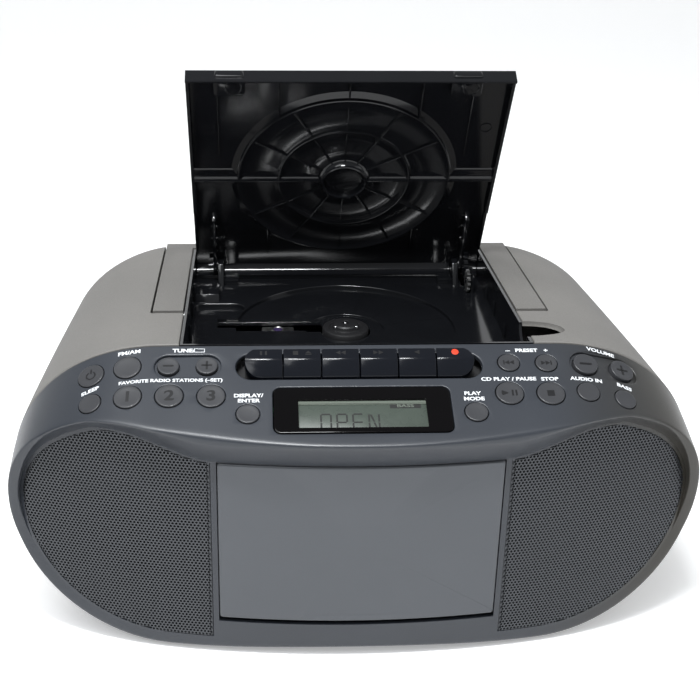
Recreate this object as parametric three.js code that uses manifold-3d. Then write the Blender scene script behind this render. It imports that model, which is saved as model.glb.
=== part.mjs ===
// Portable CD, radio and cassette player with a carrying handle.
// Millimetres, +Z up, -Y is the front. The finished pieces are moved back or forth so that
// the origin lies on the standing surface, under the middle of the whole outline.
import * as THREE from 'three';
import { mergeVertices } from 'three/addons/utils/BufferGeometryUtils.js';
import Module from 'manifold-3d';

const wasm = await Module();
wasm.setup();

// ---------------------------------------------------------------- driving sizes
const gap = 0.35;                 // clearance between neighbouring pieces
const wall = 2.5;                 // casing wall
const thinWall = 1.4;             // tray and trim wall

const body = {
  halfWidth: 175,                 // at the seam, its widest place
  frontY: -115,                   // crest, on the centre line
  rearY: 115.3,
  topZ: 154.8,                    // casing top at the seam
  bottomZ: 2.8,                   // casing floor, above the feet
  waistZ: 79,                     // height of the widest line
  flatHalf: 96,                   // half width of the flat of top and bottom
  topCorner: 2.2,                 // superellipse exponents of the corners
  bottomCorner: 2.0,
  rearRound: 22,                  // plan rounding at the rear
  rearTopDrop: 2,                 // fall of the top edge over that rounding
  rearFloorRise: 4.4,             // rise of the lower edge over it
  chinRise: 3,                    // upturn of the floor towards the face
  chinRun: 9,
};
body.rimHalfWidth = body.halfWidth - 3;     // at the front rim
body.rearHalfWidth = body.halfWidth - 9;    // where the rear corners begin
const seamY = body.frontY + 57;   // vertical joint between the two shells
const topFall = Math.tan(THREE.MathUtils.degToRad(3.1));
const planRadius = 480;           // bow of the front in plan

const panel = {
  slope: THREE.MathUtils.degToRad(24.73),
  startDrop: 0.5,                 // panel start below the casing top
  browDepth: 10,                  // crest ahead of the face below it
  browHeight: 16,
  wing: 13,                       // rise of the brow over the speakers
};

const door = { halfWidth: 69.6, underBrow: 0.45, thick: 3.2, bottomZ: 22.2 };
const bay = { halfWidth: 86.65, floorZ: body.topZ - 27.8, length: 158.1 };
const lid = { side: 0.5, thick: 2.6, frontGap: 0.5, openAngle: 57.9, barrel: 9.5 };
const hub = { fromBayFront: 77.5 };   // disc spindle, behind the bay front
const lugFrom = 17;               // lid hinge lugs, in from the bay's side
const lugThick = 3.4;
const armFrom = lugFrom - lugThick - 0.4;
const armThick = 2.2;
const armReach = 42;              // hinge arm, ahead of the pivot under the closed lid
const lidPivot = { behindHub: 71, belowTop: 8 };
const handle = { arm: 15.9, depth: 13, barHeight: 21, barDepth: 11, frontFromSeam: 48.8 };
const keys = { count: 6, pitch: 18.73, depth: 14.7, proud: 5, fromStart: 6.6 };

// ---------------------------------------------------------------- solid helpers
/** Makes a manifold solid of a closed three.js geometry. */
function solid(geometry) {
  const bare = geometry.clone();
  bare.deleteAttribute('normal');
  bare.deleteAttribute('uv');
  const merged = mergeVertices(bare, 1e-4);
  const mesh = new wasm.Mesh({
    numProp: 3,
    vertProperties: new Float32Array(merged.attributes.position.array),
    triVerts: new Uint32Array(merged.index.array),
  });
  return new wasm.Manifold(mesh);
}

/** Gives a solid back as a three.js geometry with flat normals. */
function toGeometry(manifold) {
  const mesh = manifold.getMesh();
  const geometry = new THREE.BufferGeometry();
  geometry.setAttribute('position', new THREE.BufferAttribute(new Float32Array(mesh.vertProperties), 3));
  geometry.setIndex(new THREE.BufferAttribute(new Uint32Array(mesh.triVerts), 1));
  return geometry;
}

/** A box between two corners. */
function box(x0, x1, y0, y1, z0, z1) {
  const geometry = new THREE.BoxGeometry(x1 - x0, y1 - y0, z1 - z0);
  geometry.translate((x0 + x1) / 2, (y0 + y1) / 2, (z0 + z1) / 2);
  return solid(geometry);
}

/** A round bar along 'x', 'y' or 'z', from a to b, centred on the two other coordinates. */
function bar(axis, radius, a, b, c1, c2, sides = 24) {
  const geometry = new THREE.CylinderGeometry(radius, radius, b - a, sides);
  const middle = (a + b) / 2;
  if (axis === 'x') geometry.rotateZ(Math.PI / 2).translate(middle, c1, c2);
  if (axis === 'y') geometry.translate(c1, middle, c2);
  if (axis === 'z') geometry.rotateX(Math.PI / 2).translate(c1, c2, middle);
  return solid(geometry);
}

/** A turned piece about Z from [radius, height] pairs that start and end on the axis. */
function turned(profile, sides = 20) {
  const points = profile.map(([r, z]) => new THREE.Vector2(r, z));
  const geometry = new THREE.LatheGeometry(points, sides);
  geometry.rotateX(Math.PI / 2);
  return solid(geometry);
}

/** Extrudes an outline of [x, z] points along Y, from y0 to y1. */
function plateY(outline, y0, y1) {
  const shape = new THREE.Shape(outline.map(([x, z]) => new THREE.Vector2(x, z)));
  const geometry = new THREE.ExtrudeGeometry(shape, { depth: y1 - y0, bevelEnabled: false });
  geometry.rotateX(Math.PI / 2).translate(0, y1, 0);
  return solid(geometry);
}

/** Extrudes an outline of [x, y] points along Z, from z0 to z1. */
function plateZ(outline, z0, z1) {
  const shape = new THREE.Shape(outline.map(([x, y]) => new THREE.Vector2(x, y)));
  const geometry = new THREE.ExtrudeGeometry(shape, { depth: z1 - z0, bevelEnabled: false });
  geometry.translate(0, 0, z0);
  return solid(geometry);
}

/** Extrudes an outline of [y, z] points along X, from x0 to x1. */
function plateX(outline, x0, x1) {
  const shape = new THREE.Shape(outline.map(([y, z]) => new THREE.Vector2(y, z)));
  const geometry = new THREE.ExtrudeGeometry(shape, { depth: x1 - x0, bevelEnabled: false });
  geometry.rotateX(Math.PI / 2).rotateZ(Math.PI / 2).translate(x0, 0, 0);
  return solid(geometry);
}

/** Joins rings of equal point counts, from front to back, into one closed solid. */
function loft(rings) {
  const count = rings[0].length;
  const positions = rings.flat().flatMap((p) => [p.x, p.y, p.z]);
  const index = [];
  for (let k = 0; k + 1 < rings.length; k += 1) {
    for (let i = 0; i < count; i += 1) {
      const a = k * count + i;
      const b = k * count + ((i + 1) % count);
      index.push(a, a + count, b + count, a, b + count, b);
    }
  }
  [0, rings.length - 1].forEach((k, end) => {
    const middle = rings[k].reduce((sum, p) => sum.add(p), new THREE.Vector3()).divideScalar(count);
    const tip = positions.length / 3;
    positions.push(middle.x, middle.y, middle.z);
    for (let i = 0; i < count; i += 1) {
      const a = k * count + i;
      const b = k * count + ((i + 1) % count);
      index.push(tip, end ? b : a, end ? a : b);
    }
  });
  const geometry = new THREE.BufferGeometry();
  geometry.setAttribute('position', new THREE.BufferAttribute(new Float32Array(positions), 3));
  geometry.setIndex(index);
  return solid(geometry);
}

const smooth = (t) => THREE.MathUtils.smoothstep(t, 0, 1);

// ---------------------------------------------------------------- body surfaces
/** Outline of a cross section as [x, z] points, counterclockwise seen from the front. */
function sectionOutline(halfWidth, top, bottom, inset = 0, steps = 8) {
  const flat = body.flatHalf - inset / 2;
  const across = halfWidth - inset - flat;
  const corner = (sign, height, exponent, t) => [
    sign * (flat + across * Math.cos(t) ** (2 / exponent)),
    body.waistZ + height * Math.sin(t) ** (2 / exponent),
  ];
  const up = top - inset - body.waistZ;
  const down = bottom + inset - body.waistZ;
  const angles = Array.from({ length: steps + 1 }, (_, i) => (i / steps) * (Math.PI / 2));
  const back = [...angles].reverse();
  return [
    ...angles.map((t) => corner(1, up, body.topCorner, t)),
    ...back.map((t) => corner(-1, up, body.topCorner, t)),
    ...angles.slice(1).map((t) => corner(-1, down, body.bottomCorner, t)),
    ...back.slice(0, -1).map((t) => corner(1, down, body.bottomCorner, t)),
  ];
}

const toRing = (outline, y) => outline.map(([x, z]) => new THREE.Vector3(x, y, z));

/** Height of the rear casing's top surface. */
const casingTop = (y) => body.topZ - (y - seamY) * topFall;

/** Height of the control panel's plane. */
const panelTop = (y) => body.topZ - panel.startDrop - (seamY - y) * Math.tan(panel.slope);

/** How far the bowed front lies behind its centre line. */
const bow = (x) => (x * x) / (2 * planRadius);

const faceY = body.frontY + panel.browDepth;
const browZ = panelTop(body.frontY) - panel.browHeight;

/** Lower edge of the brow, which rises over the speakers. */
const wingRun = 52;
const rimInset = 3;
const browEdge = (x) => browZ + panel.wing * smooth((Math.abs(x) - door.halfWidth) / wingRun);

/** Half width of the front shell at a depth. */
function frontHalfWidth(y) {
  const t = THREE.MathUtils.clamp((seamY - y) / (seamY - faceY), 0, 1.4);
  return body.halfWidth - (body.halfWidth - body.rimHalfWidth) * t * t;
}

/** The front shell's tunnel shape, before its front is cut. */
function frontTunnel(inset) {
  const rings = [];
  const from = body.frontY - 8;
  const to = seamY - gap / 2 + (inset > 0 ? 1 : 0);
  const count = 6;
  for (let i = 0; i <= count; i += 1) {
    const y = from + ((to - from) * i) / count;
    const chin = body.bottomZ + body.chinRise * Math.max(0, (faceY + body.chinRun - y) / body.chinRun) ** 2;
    rings.push(toRing(sectionOutline(frontHalfWidth(y), panelTop(y), chin, inset), y));
  }
  return loft(rings);
}

/** Everything behind a bowed front surface whose depth at height z is depthAt(z). */
function behindFront(depthAt, heights) {
  const reach = body.halfWidth + 20;
  const stations = 22;
  const rings = [];
  for (let i = 0; i <= stations; i += 1) {
    const x = -reach + (2 * reach * i) / stations;
    const front = heights.map((z) => new THREE.Vector3(x, depthAt(z) + bow(x), z));
    const top = heights[heights.length - 1];
    front.push(new THREE.Vector3(x, body.rearY, top), new THREE.Vector3(x, body.rearY, heights[0]));
    rings.push(front);
  }
  const turnedRings = rings.map((ring) => ring.map((p) => new THREE.Vector3(-p.y, p.x, p.z)));
  return loft(turnedRings).rotate([0, 0, -90]);
}

/** Rim surface: level with the face at the chin, ahead of it by the brow's depth at the top. */
const rimDepth = (z) => faceY - panel.browDepth * smooth((z - 30) / (browZ + 10 - 30));

const lowZ = -20;
const highZ = body.topZ + 20;
const rimHeights = [lowZ, 30, 45, 60, 75, 90, 105, browZ + 10, highZ];

/** Outline of the face inside the rim as [x, z] points. */
function faceOutline(inset, browOut = 0) {
  const outline = sectionOutline(body.rimHalfWidth, panelTop(faceY), body.bottomZ + 2.5, inset, 10);
  const points = [];
  for (let i = 0; i < outline.length; i += 1) {
    points.push(outline[i]);
    const next = outline[(i + 1) % outline.length];
    const flatTop = outline[i][1] > body.waistZ && next[1] > body.waistZ && outline[i][0] - next[0] > 60;
    for (let k = 1; flatTop && k < 18; k += 1) {
      points.push([outline[i][0] + ((next[0] - outline[i][0]) * k) / 18, outline[i][1]]);
    }
  }
  return points.map(([x, z]) => [x, Math.min(z, browEdge(x) + browOut)]);
}

/** The space cut away under the brow and inside the rim. */
function browCut() {
  const reach = panel.browDepth + 3;
  const steep = panel.browHeight / panel.browDepth;
  const rise = (x) => steep - 0.68 * smooth((Math.abs(x) - door.halfWidth) / wingRun);
  const inner = faceOutline(rimInset);
  const ring = (ahead, depth) => inner.map(([x, z]) => {
    const side = 1 + (ahead / reach) * (rimInset / body.rimHalfWidth);
    const lift = z > body.waistZ ? ahead * rise(x) * smooth((z - body.waistZ) / 40) : 0;
    return new THREE.Vector3(x * side, depth(x), z + lift);
  });
  const through = loft([
    ring(reach, () => body.frontY - 40), ring(reach, (x) => faceY - reach + bow(x)),
    ring(0, (x) => faceY + bow(x)), ring(0, () => seamY - 1),
  ]);
  return through.subtract(behindFront(() => faceY, [lowZ, highZ]));
}

/** A slab that follows the bowed face, between two depths behind it. */
function faceSlab(near, far) {
  const all = behindFront(() => faceY + near, [lowZ, highZ]);
  return all.subtract(behindFront(() => faceY + far, [lowZ - 1, highZ + 1]));
}

const doorTopZ = browZ - door.underBrow;
const doorHinge = { y: faceY + bow(door.halfWidth) + 1.5, z: door.bottomZ + 12 };
const doorSwingGap = 2.4;         // the door's lower edge dips by this much as it opens
const openingInset = 4.6;
const grilleFromX = door.halfWidth + 3.2;

/** The outline of one loudspeaker opening, swept through the face. */
function speakerOpening(side, inset) {
  const whole = plateY(faceOutline(openingInset + inset, -inset - 0.8), body.frontY - 10, seamY - 5);
  const x0 = grilleFromX + inset;
  const x1 = body.halfWidth + 10;
  const half = side > 0 ? box(x0, x1, -200, 0, -50, 300) : box(-x1, -x0, -200, 0, -50, 300);
  return whole.intersect(half);
}

// ---------------------------------------------------------------- panel places
/** A point and frame on the control panel: x across, d down the slope from its start. */
function panelFrame(x, d, height = 0) {
  const surface = (px, pd) => {
    const y = seamY - pd * Math.cos(panel.slope);
    const top = panelTop(y);
    const over = Math.max(0, (Math.abs(px) - body.flatHalf) / (frontHalfWidth(y) - body.flatHalf));
    const z = body.waistZ + (top - body.waistZ) * (1 - over ** body.topCorner) ** (1 / body.topCorner);
    return new THREE.Vector3(px, y, z);
  };
  const step = 0.5;
  const origin = surface(x, d);
  const down = surface(x, d + step).sub(origin).normalize();
  const across = surface(x + step, d).sub(surface(x - step, d)).normalize();
  const normal = new THREE.Vector3().crossVectors(down, across).normalize();
  const side = new THREE.Vector3().crossVectors(normal, down).negate().normalize();
  const up = down.clone().negate();
  const frame = new THREE.Matrix4().makeBasis(side, up, normal);
  frame.setPosition(origin.addScaledVector(normal, height));
  return frame;
}

/** Places a solid that was made about the origin, +Z out of the panel, into a panel frame. */
const place = (manifold, frame) => manifold.transform(frame.toArray());

// Round control buttons: name, side, share of the way from the keys' end to the casing's side,
// distance down the panel, radius.
const keysHalf = (keys.count * keys.pitch) / 2;
const buttons = [
  ['power', -1, 0.6280, 12.8, 6.7], ['sleep', -1, 0.6204, 30.7, 5.5],
  ['band', -1, 0.4782, 12.8, 6.7], ['tune_down', -1, 0.3107, 13.3, 5.3],
  ['tune_up', -1, 0.1533, 13.1, 5.3], ['memory_1', -1, 0.4681, 31.3, 6.7],
  ['memory_2', -1, 0.3014, 31.8, 6.7], ['memory_3', -1, 0.1331, 32.1, 6.7],
  ['display_enter', -1, -0.0142, 43, 5.5], ['play_mode', 1, -0.0176, 43, 5.5],
  ['skip_back', 1, 0.1465, 12.8, 5.3], ['skip_forward', 1, 0.3031, 13.2, 5.3],
  ['cd_play_pause', 1, 0.1289, 31.8, 6.7], ['cd_stop', 1, 0.2972, 32.2, 6.7],
  ['volume_down', 1, 0.4689, 12.9, 6.2], ['volume_up', 1, 0.6271, 12, 6.2],
  ['audio_in', 1, 0.4537, 30.8, 5.5], ['bass', 1, 0.6086, 31.5, 5.5],
].map(([name, side, share, d, radius]) => {
  const x = side * (keysHalf + share * (body.halfWidth - keysHalf));
  return { name, radius, frame: panelFrame(x, d) };
});

const button = { proud: 0.5, flange: 0.9, flangeThick: 1.2, stem: 4.2 };
const display = { halfWidth: 42.7, from: 27.1, to: 54.9, thick: 2.2 };
const panelMid = (from, to) => panelFrame(0, (from + to) / 2);

// ---------------------------------------------------------------- front cabinet
function frontCabinet() {
  let shell = frontTunnel(0).intersect(behindFront(rimDepth, rimHeights));
  shell = shell.subtract(browCut());
  const innerHeights = [lowZ - 5, highZ + 5];
  const cavity = frontTunnel(wall).intersect(behindFront(() => faceY + wall, innerHeights));
  shell = shell.subtract(cavity);
  for (const side of [-1, 1]) shell = shell.subtract(speakerOpening(side, 0));
  const side = door.halfWidth + gap;
  shell = shell.subtract(box(-side, side, body.frontY - 5, faceY + 12, door.bottomZ - doorSwingGap, doorTopZ + gap));
  for (const b of buttons) {
    const hole = bar('z', b.radius + gap, -12, 8, 0, 0, 18);
    const seat = bar('z', b.radius + button.flange + gap, -14, -wall, 0, 0, 16);
    shell = shell.subtract(place(hole.add(seat), b.frame));
  }
  shell = shell.subtract(place(keyRecess(), panelMid(keys.fromStart, keys.fromStart + keys.depth)));
  const reach = (display.to - display.from) / 2;
  const window = box(-display.halfWidth, display.halfWidth, -reach, reach, -8, 8);
  shell = shell.subtract(place(window, panelMid(display.from, display.to)));
  return shell;
}

/** The slot with round ends that the six deck keys stand in. */
function keyRecess() {
  const half = keysHalf + 1.5;
  const depth = keys.depth / 2 + 0.6;
  return box(-half, half, -depth, depth, -10, 12);
}

// ---------------------------------------------------------------- rear cabinet
const rearFrom = seamY + gap / 2;
const bayFrontY = seamY + 1.8;
const bayRearY = bayFrontY + bay.length;
const hubY = bayFrontY + hub.fromBayFront;
const pivotY = hubY + lidPivot.behindHub;
const pivotZ = casingTop(pivotY) - lidPivot.belowTop;
const trayHalf = bay.halfWidth + thinWall;
const armInner = trayHalf + gap + 0.6;
const armOuter = armInner + handle.arm;
const armFrontY = seamY + handle.frontFromSeam;
const barFrontY = bayRearY + thinWall + 2 * gap;
const barRearY = barFrontY + handle.barDepth;
const barTopZ = casingTop(barFrontY);
const troughClear = 1.2;
const handlePivot = { y: armFrontY + 8, z: casingTop(armFrontY + 8) - handle.depth / 2 };
const armSwing = Math.hypot(handlePivot.y - armFrontY, handle.depth / 2) + 2 * gap;

/** Tunnel of the rear shell, inset all round. */
function rearTunnel(inset) {
  const rings = [];
  const straightTo = body.rearY - body.rearRound;
  const stations = [rearFrom - (inset > 0 ? 1 : 0), -20, 20, 55, straightTo];
  for (const y of stations) {
    const t = THREE.MathUtils.clamp((y - rearFrom) / (straightTo - rearFrom), 0, 1);
    const half = body.halfWidth - (body.halfWidth - body.rearHalfWidth) * t ** 1.3;
    rings.push(toRing(sectionOutline(half, casingTop(y), body.bottomZ, inset), y));
  }
  for (const a of [20, 40, 58, 74, 90]) {
    const angle = THREE.MathUtils.degToRad(a);
    const shrink = body.rearRound * (1 - Math.cos(angle));
    const y = straightTo + (body.rearRound - inset) * Math.sin(angle);
    const half = body.rearHalfWidth - shrink;
    const share = shrink / body.rearRound;
    const top = casingTop(y) - share * body.rearTopDrop;
    const outline = sectionOutline(half, top, body.bottomZ + share * body.rearFloorRise, inset);
    rings.push(toRing(outline, y));
  }
  return loft(rings);
}

/** The channel round the disc bay that the folded handle lies in. */
function handleChannel(grow) {
  const outer = armOuter + troughClear + grow;
  const inner = trayHalf + gap;
  const front = handlePivot.y - armSwing - grow;
  const floor = (y) => casingTop(y) - handle.depth / 2 - armSwing - grow;
  const deep = barTopZ - handle.barHeight - troughClear - grow;
  const arm = plateX([
    [front, floor(front)], [barFrontY, floor(barFrontY)],
    [barFrontY, casingTop(front) + 9], [front, casingTop(front) + 9],
  ], inner, outer);
  const rear = box(-outer, outer, barFrontY - gap, body.rearY + 12, deep, casingTop(front) + 9);
  return arm.add(arm.mirror([1, 0, 0])).add(rear);
}

const disc = { spindleRadius: 13, rise: 3, slotEnd: 72, pickupX: 38 };
const inlet = { x: 48 - body.rearHalfWidth, z: 34, dish: 13, deep: 9 };
const batteryDoor = { halfWidth: 78, bottomZ: 22, height: 62, thick: 2.4 };
const antenna = { x: body.rearHalfWidth - 38, y: body.rearY + 3.4, z: 101, turret: 4.6, radius: 2.8 };
antenna.length = 2 * body.rearHalfWidth - 117;
const outlineMiddle = (body.frontY + antenna.y + antenna.turret) / 2;

function rearCabinet() {
  const outer = rearTunnel(0);
  let shell = outer.subtract(rearTunnel(wall));
  shell = shell.add(handleChannel(wall).intersect(outer));
  shell = shell.subtract(handleChannel(0));
  const half = trayHalf + gap;
  const bayEnd = bayRearY + thinWall + gap;
  shell = shell.subtract(box(-half, half, rearFrom - 5, bayEnd, bay.floorZ - 14, body.topZ + 30));
  shell = shell.subtract(fingerDish());
  const dish = bar('y', inlet.dish, body.rearY - inlet.deep, body.rearY + 10, inlet.x, inlet.z, 28);
  const pocket = bar('y', inlet.dish + wall, body.rearY - inlet.deep - wall, body.rearY - 1, inlet.x, inlet.z, 28);
  shell = shell.add(pocket.intersect(outer)).subtract(dish);
  shell = shell.subtract(box(inlet.x - 7.5, inlet.x + 7.5, body.rearY - 14, body.rearY, inlet.z - 4, inlet.z + 4));
  const d = batteryDoor;
  shell = shell.subtract(box(-d.halfWidth - gap, d.halfWidth + gap, body.rearY - 8, body.rearY + 5,
    d.bottomZ - gap, d.bottomZ + d.height + gap));
  const a = antenna;
  const seat = box(a.x - 13, a.x + 12, a.y - a.turret - 1, body.rearY + 10, a.z - 6, a.z + 6);
  const backing = box(a.x - 15, a.x + 14, a.y - a.turret - 1 - wall, body.rearY - 0.5, a.z - 8, a.z + 8);
  shell = shell.add(backing.intersect(outer)).subtract(seat);
  shell = shell.add(batteryCell());
  return shell;
}

/** Half-egg hollow beside the bay's right front corner, to lift the lid by. */
function fingerDish() {
  const geometry = new THREE.SphereGeometry(1, 24, 12);
  geometry.scale(20, 10.5, 9).translate(trayHalf, seamY + 19, casingTop(seamY + 19));
  return solid(geometry);
}

/** Floor and ends of the battery compartment, behind its door. */
function batteryCell() {
  const d = batteryDoor;
  const deep = 56;
  const outer = box(-d.halfWidth - 4, d.halfWidth + 4, body.rearY - deep - wall, body.rearY - wall + 0.5,
    d.bottomZ - 4, d.bottomZ + d.height + 4);
  const inner = box(-d.halfWidth + 1.5, d.halfWidth - 1.5, body.rearY - deep, body.rearY + 5,
    d.bottomZ + 1.5, d.bottomZ + d.height - 1.5);
  const rebate = box(-d.halfWidth - gap, d.halfWidth + gap, body.rearY - 4, body.rearY + 5,
    d.bottomZ - gap, d.bottomZ + d.height + gap);
  return outer.subtract(inner).subtract(rebate);
}

// ---------------------------------------------------------------- disc bay and lid
const sector = { teeth: 27, module: 1.0 };
const gear = { teeth: 12, below: THREE.MathUtils.degToRad(8) };
sector.radius = (sector.teeth * sector.module) / 2;
gear.radius = (gear.teeth * sector.module) / 2;
gear.y = pivotY - (sector.radius + gear.radius) * Math.cos(gear.below);
gear.z = pivotZ - (sector.radius + gear.radius) * Math.sin(gear.below);

function bayTray() {
  const top = casingTop(bayFrontY) - 0.5;
  const profile = (inset, z0) => [
    [bayFrontY - thinWall + inset, z0], [bayRearY + thinWall - inset, z0],
    [bayRearY + thinWall - inset, casingTop(bayRearY) - 0.6 + (inset ? 20 : 0)],
    [bayFrontY - thinWall + inset, top + (inset ? 20 : 0)],
  ];
  let tray = plateX(profile(0, bay.floorZ - 2), -trayHalf, trayHalf);
  tray = tray.subtract(plateX(profile(thinWall, bay.floorZ), -bay.halfWidth, bay.halfWidth));
  tray = tray.subtract(fingerDish());
  tray = tray.subtract(bar('z', disc.spindleRadius + 1, bay.floorZ - 9, bay.floorZ + 9, 0, hubY, 32));
  tray = tray.subtract(box(-disc.slotEnd, -disc.spindleRadius, hubY - 1, hubY + 11, bay.floorZ - 9, bay.floorZ + 9));
  const sectorX = bay.halfWidth - armFrom + armThick;
  tray = tray.subtract(box(sectorX - 0.6, sectorX + 2.8, pivotY - 11, pivotY + 3, bay.floorZ - 9, bay.floorZ + 1));
  for (const side of [-1, 1]) {
    const a = side * (bay.halfWidth - lugFrom);
    const b = side * (bay.halfWidth - lugFrom + lugThick);
    const lug = plateX([
      [pivotY - 9, bay.floorZ - 1], [pivotY + 8, bay.floorZ - 1], [pivotY + 4, pivotZ + 3], [pivotY - 4, pivotZ + 3],
    ], Math.min(a, b), Math.max(a, b));
    const pinEnd = side * (bay.halfWidth - armFrom + armThick + 3);
    const pin = bar('x', 2, Math.min(a, pinEnd), Math.max(a, pinEnd), pivotY, pivotZ, 16);
    tray = tray.add(lug).add(pin);
  }
  const gearX = bay.halfWidth - armFrom + armThick;
  const gearPin = bar('x', 1.5, gearX, gearX + 5, gear.y, gear.z, 12);
  const bracket = plateX([
    [gear.y - 4, bay.floorZ - 1], [gear.y + 4, bay.floorZ - 1], [gear.y + 3, gear.z + 3], [gear.y - 3, gear.z + 3],
  ], gearX + 3, gearX + 5);
  return tray.add(gearPin).add(bracket);
}

/** A toothed disc or sector outline as [y, z] points about its own centre. */
function toothed(radius, teeth, module, from = 0, to = 2 * Math.PI) {
  const pitch = (2 * Math.PI) / teeth;
  const root = radius - 0.9 * module;
  const tip = radius + 0.7 * module;
  const points = [];
  const first = Math.ceil(from / pitch - 1e-6);
  const last = Math.floor(to / pitch + 1e-6) - (to - from > 6.28 ? 1 : 0);
  for (let k = first; k <= last; k += 1) {
    for (const [share, r] of [[-0.31, root], [-0.11, tip], [0.11, tip], [0.31, root]]) {
      const angle = (k + share) * pitch;
      points.push([r * Math.cos(angle), r * Math.sin(angle)]);
    }
  }
  return points;
}

/** The lid in its closed place: plate, side skirts, front lip, rolled rear and hinge arms. */
function lidClosed() {
  const half = bay.halfWidth - lid.side;
  const frontY = bayFrontY + lid.frontGap;
  const r = lid.barrel;
  const start = Math.asin(lidPivot.belowTop * Math.cos(Math.atan(topFall)) / r) - Math.atan(topFall);
  const arc = (radius, from, to, count) => Array.from({ length: count + 1 }, (_, i) => {
    const a = from + ((to - from) * i) / count;
    return [pivotY + radius * Math.cos(a), pivotZ + radius * Math.sin(a)];
  });
  const low = -0.35;
  const inner = Math.asin((lidPivot.belowTop - lid.thick) / (r - lid.thick)) - Math.atan(topFall);
  const profile = [
    [frontY, casingTop(frontY)], [frontY, casingTop(frontY) - 9], [frontY + 1.6, casingTop(frontY) - 9],
    [frontY + 1.6, casingTop(frontY) - lid.thick],
    ...arc(r - lid.thick, inner, low, 6), ...arc(r, low, start, 8),
  ];
  let shape = plateX(profile, -half, half);
  const skirt = plateX([
    [frontY + 0.5, casingTop(frontY) - 1], [frontY + 0.5, casingTop(frontY) - 7],
    [pivotY - r - 1, casingTop(pivotY - r) - 5], [pivotY - r - 1, casingTop(pivotY - r) - 1],
  ], half - 1.6, half);
  shape = shape.add(skirt).add(skirt.mirror([1, 0, 0]));
  const armTop = casingTop(pivotY - armReach) - 1.5;
  const arm = plateX([
    [pivotY - armReach, armTop], [pivotY - armReach + 3, armTop - 7], [pivotY - 20, pivotZ - 1.5],
    [pivotY - 8, pivotZ + 0.4], [pivotY - 5, pivotZ - 3],
    [pivotY, pivotZ - 4.6], [pivotY + 4, pivotZ - 2.5], [pivotY + 4.8, pivotZ + 2],
    [pivotY + 3, casingTop(pivotY + 3) - 1.5],
  ], bay.halfWidth - armFrom, bay.halfWidth - armFrom + armThick);
  const bore = bar('x', 2 + gap, bay.halfWidth - lugFrom, bay.halfWidth - 2, pivotY, pivotZ, 16);
  shape = shape.add(arm).add(arm.mirror([1, 0, 0]));
  const base = Math.PI + gear.below;
  const sectorX = bay.halfWidth - armFrom + armThick - 0.2;
  const outline = toothed(sector.radius, sector.teeth, sector.module, base - 0.18, base + 1.35);
  const first = outline[0];
  const last = outline[outline.length - 1];
  const at = ([y, z]) => [pivotY + y, pivotZ + z];
  const fan = plateX([...outline.map(at), at([last[0] * 0.3, last[1] * 0.3]), at([2, 2]),
    at([first[0] * 0.3, first[1] * 0.3 + 2])], sectorX, sectorX + 2.4);
  const slot = box(bay.halfWidth - lugFrom - gap, bay.halfWidth - lugFrom + lugThick + gap, pivotY - 1, pivotY + 12,
    pivotZ - 12, pivotZ + lidPivot.belowTop - lid.thick - gap);
  const cuts = bore.add(slot);
  return shape.add(fan).subtract(cuts).subtract(cuts.mirror([1, 0, 0]));
}

const atPivot = (manifold, degrees) => manifold
  .translate([0, -pivotY, -pivotZ]).rotate([degrees, 0, 0]).translate([0, pivotY, pivotZ]);

/** The damper's gear, turned so that it is in mesh with the open lid's sector. */
function damperGear() {
  const meshed = toothed(gear.radius, gear.teeth, sector.module);
  const pitch = (2 * Math.PI) / sector.teeth;
  const contact = Math.PI + gear.below + THREE.MathUtils.degToRad(lid.openAngle);
  const offset = Math.round(contact / pitch) * pitch - contact;
  const turn = gear.below - (offset * sector.radius) / gear.radius + Math.PI / gear.teeth;
  const outline = meshed.map(([y, z]) => [
    gear.y + y * Math.cos(turn) - z * Math.sin(turn), gear.z + y * Math.sin(turn) + z * Math.cos(turn),
  ]);
  const x = bay.halfWidth - armFrom + armThick + gap;
  return plateX(outline, x, x + 1.8).subtract(bar('x', 1.5 + gap, x - 2, x + 4, gear.y, gear.z, 12));
}

// ---------------------------------------------------------------- carrying handle
function handleSolid() {
  const arm = plateX([
    [armFrontY, casingTop(armFrontY)], [armFrontY, casingTop(armFrontY) - handle.depth],
    [barRearY - 2, casingTop(barRearY) - handle.depth], [barRearY - 2, casingTop(barRearY) - 3],
    [barFrontY, casingTop(barFrontY)],
  ], armInner, armOuter);
  const rear = plateX([
    [barFrontY, barTopZ], [barFrontY, barTopZ - handle.barHeight + 3], [barFrontY + 3, barTopZ - handle.barHeight],
    [barRearY - 3, barTopZ - handle.barHeight], [barRearY, barTopZ - handle.barHeight + 4],
    [barRearY, barTopZ - 8], [barRearY - 2.5, barTopZ - 2.5],
  ], -armOuter, armOuter);
  const bore = bar('x', 3 + gap, armInner - 2, armInner + 8, handlePivot.y, handlePivot.z, 16);
  return arm.add(arm.mirror([1, 0, 0])).add(rear).subtract(bore).subtract(bore.mirror([1, 0, 0]));
}

// ---------------------------------------------------------------- cassette door
function doorSolid() {
  const outline = box(-door.halfWidth, door.halfWidth, -200, 0, door.bottomZ, doorTopZ);
  let plate = faceSlab(-0.6, door.thick).intersect(outline);
  const ears = box(-door.halfWidth + 3, -door.halfWidth + 8, faceY + bow(door.halfWidth) + 1,
    doorHinge.y + 4, doorHinge.z - 4, doorHinge.z + 4);
  plate = plate.add(ears).add(ears.mirror([1, 0, 0]));
  const bore = bar('x', 1.8 + gap, -door.halfWidth, door.halfWidth, doorHinge.y, doorHinge.z, 16);
  return plate.subtract(bore);
}

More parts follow.
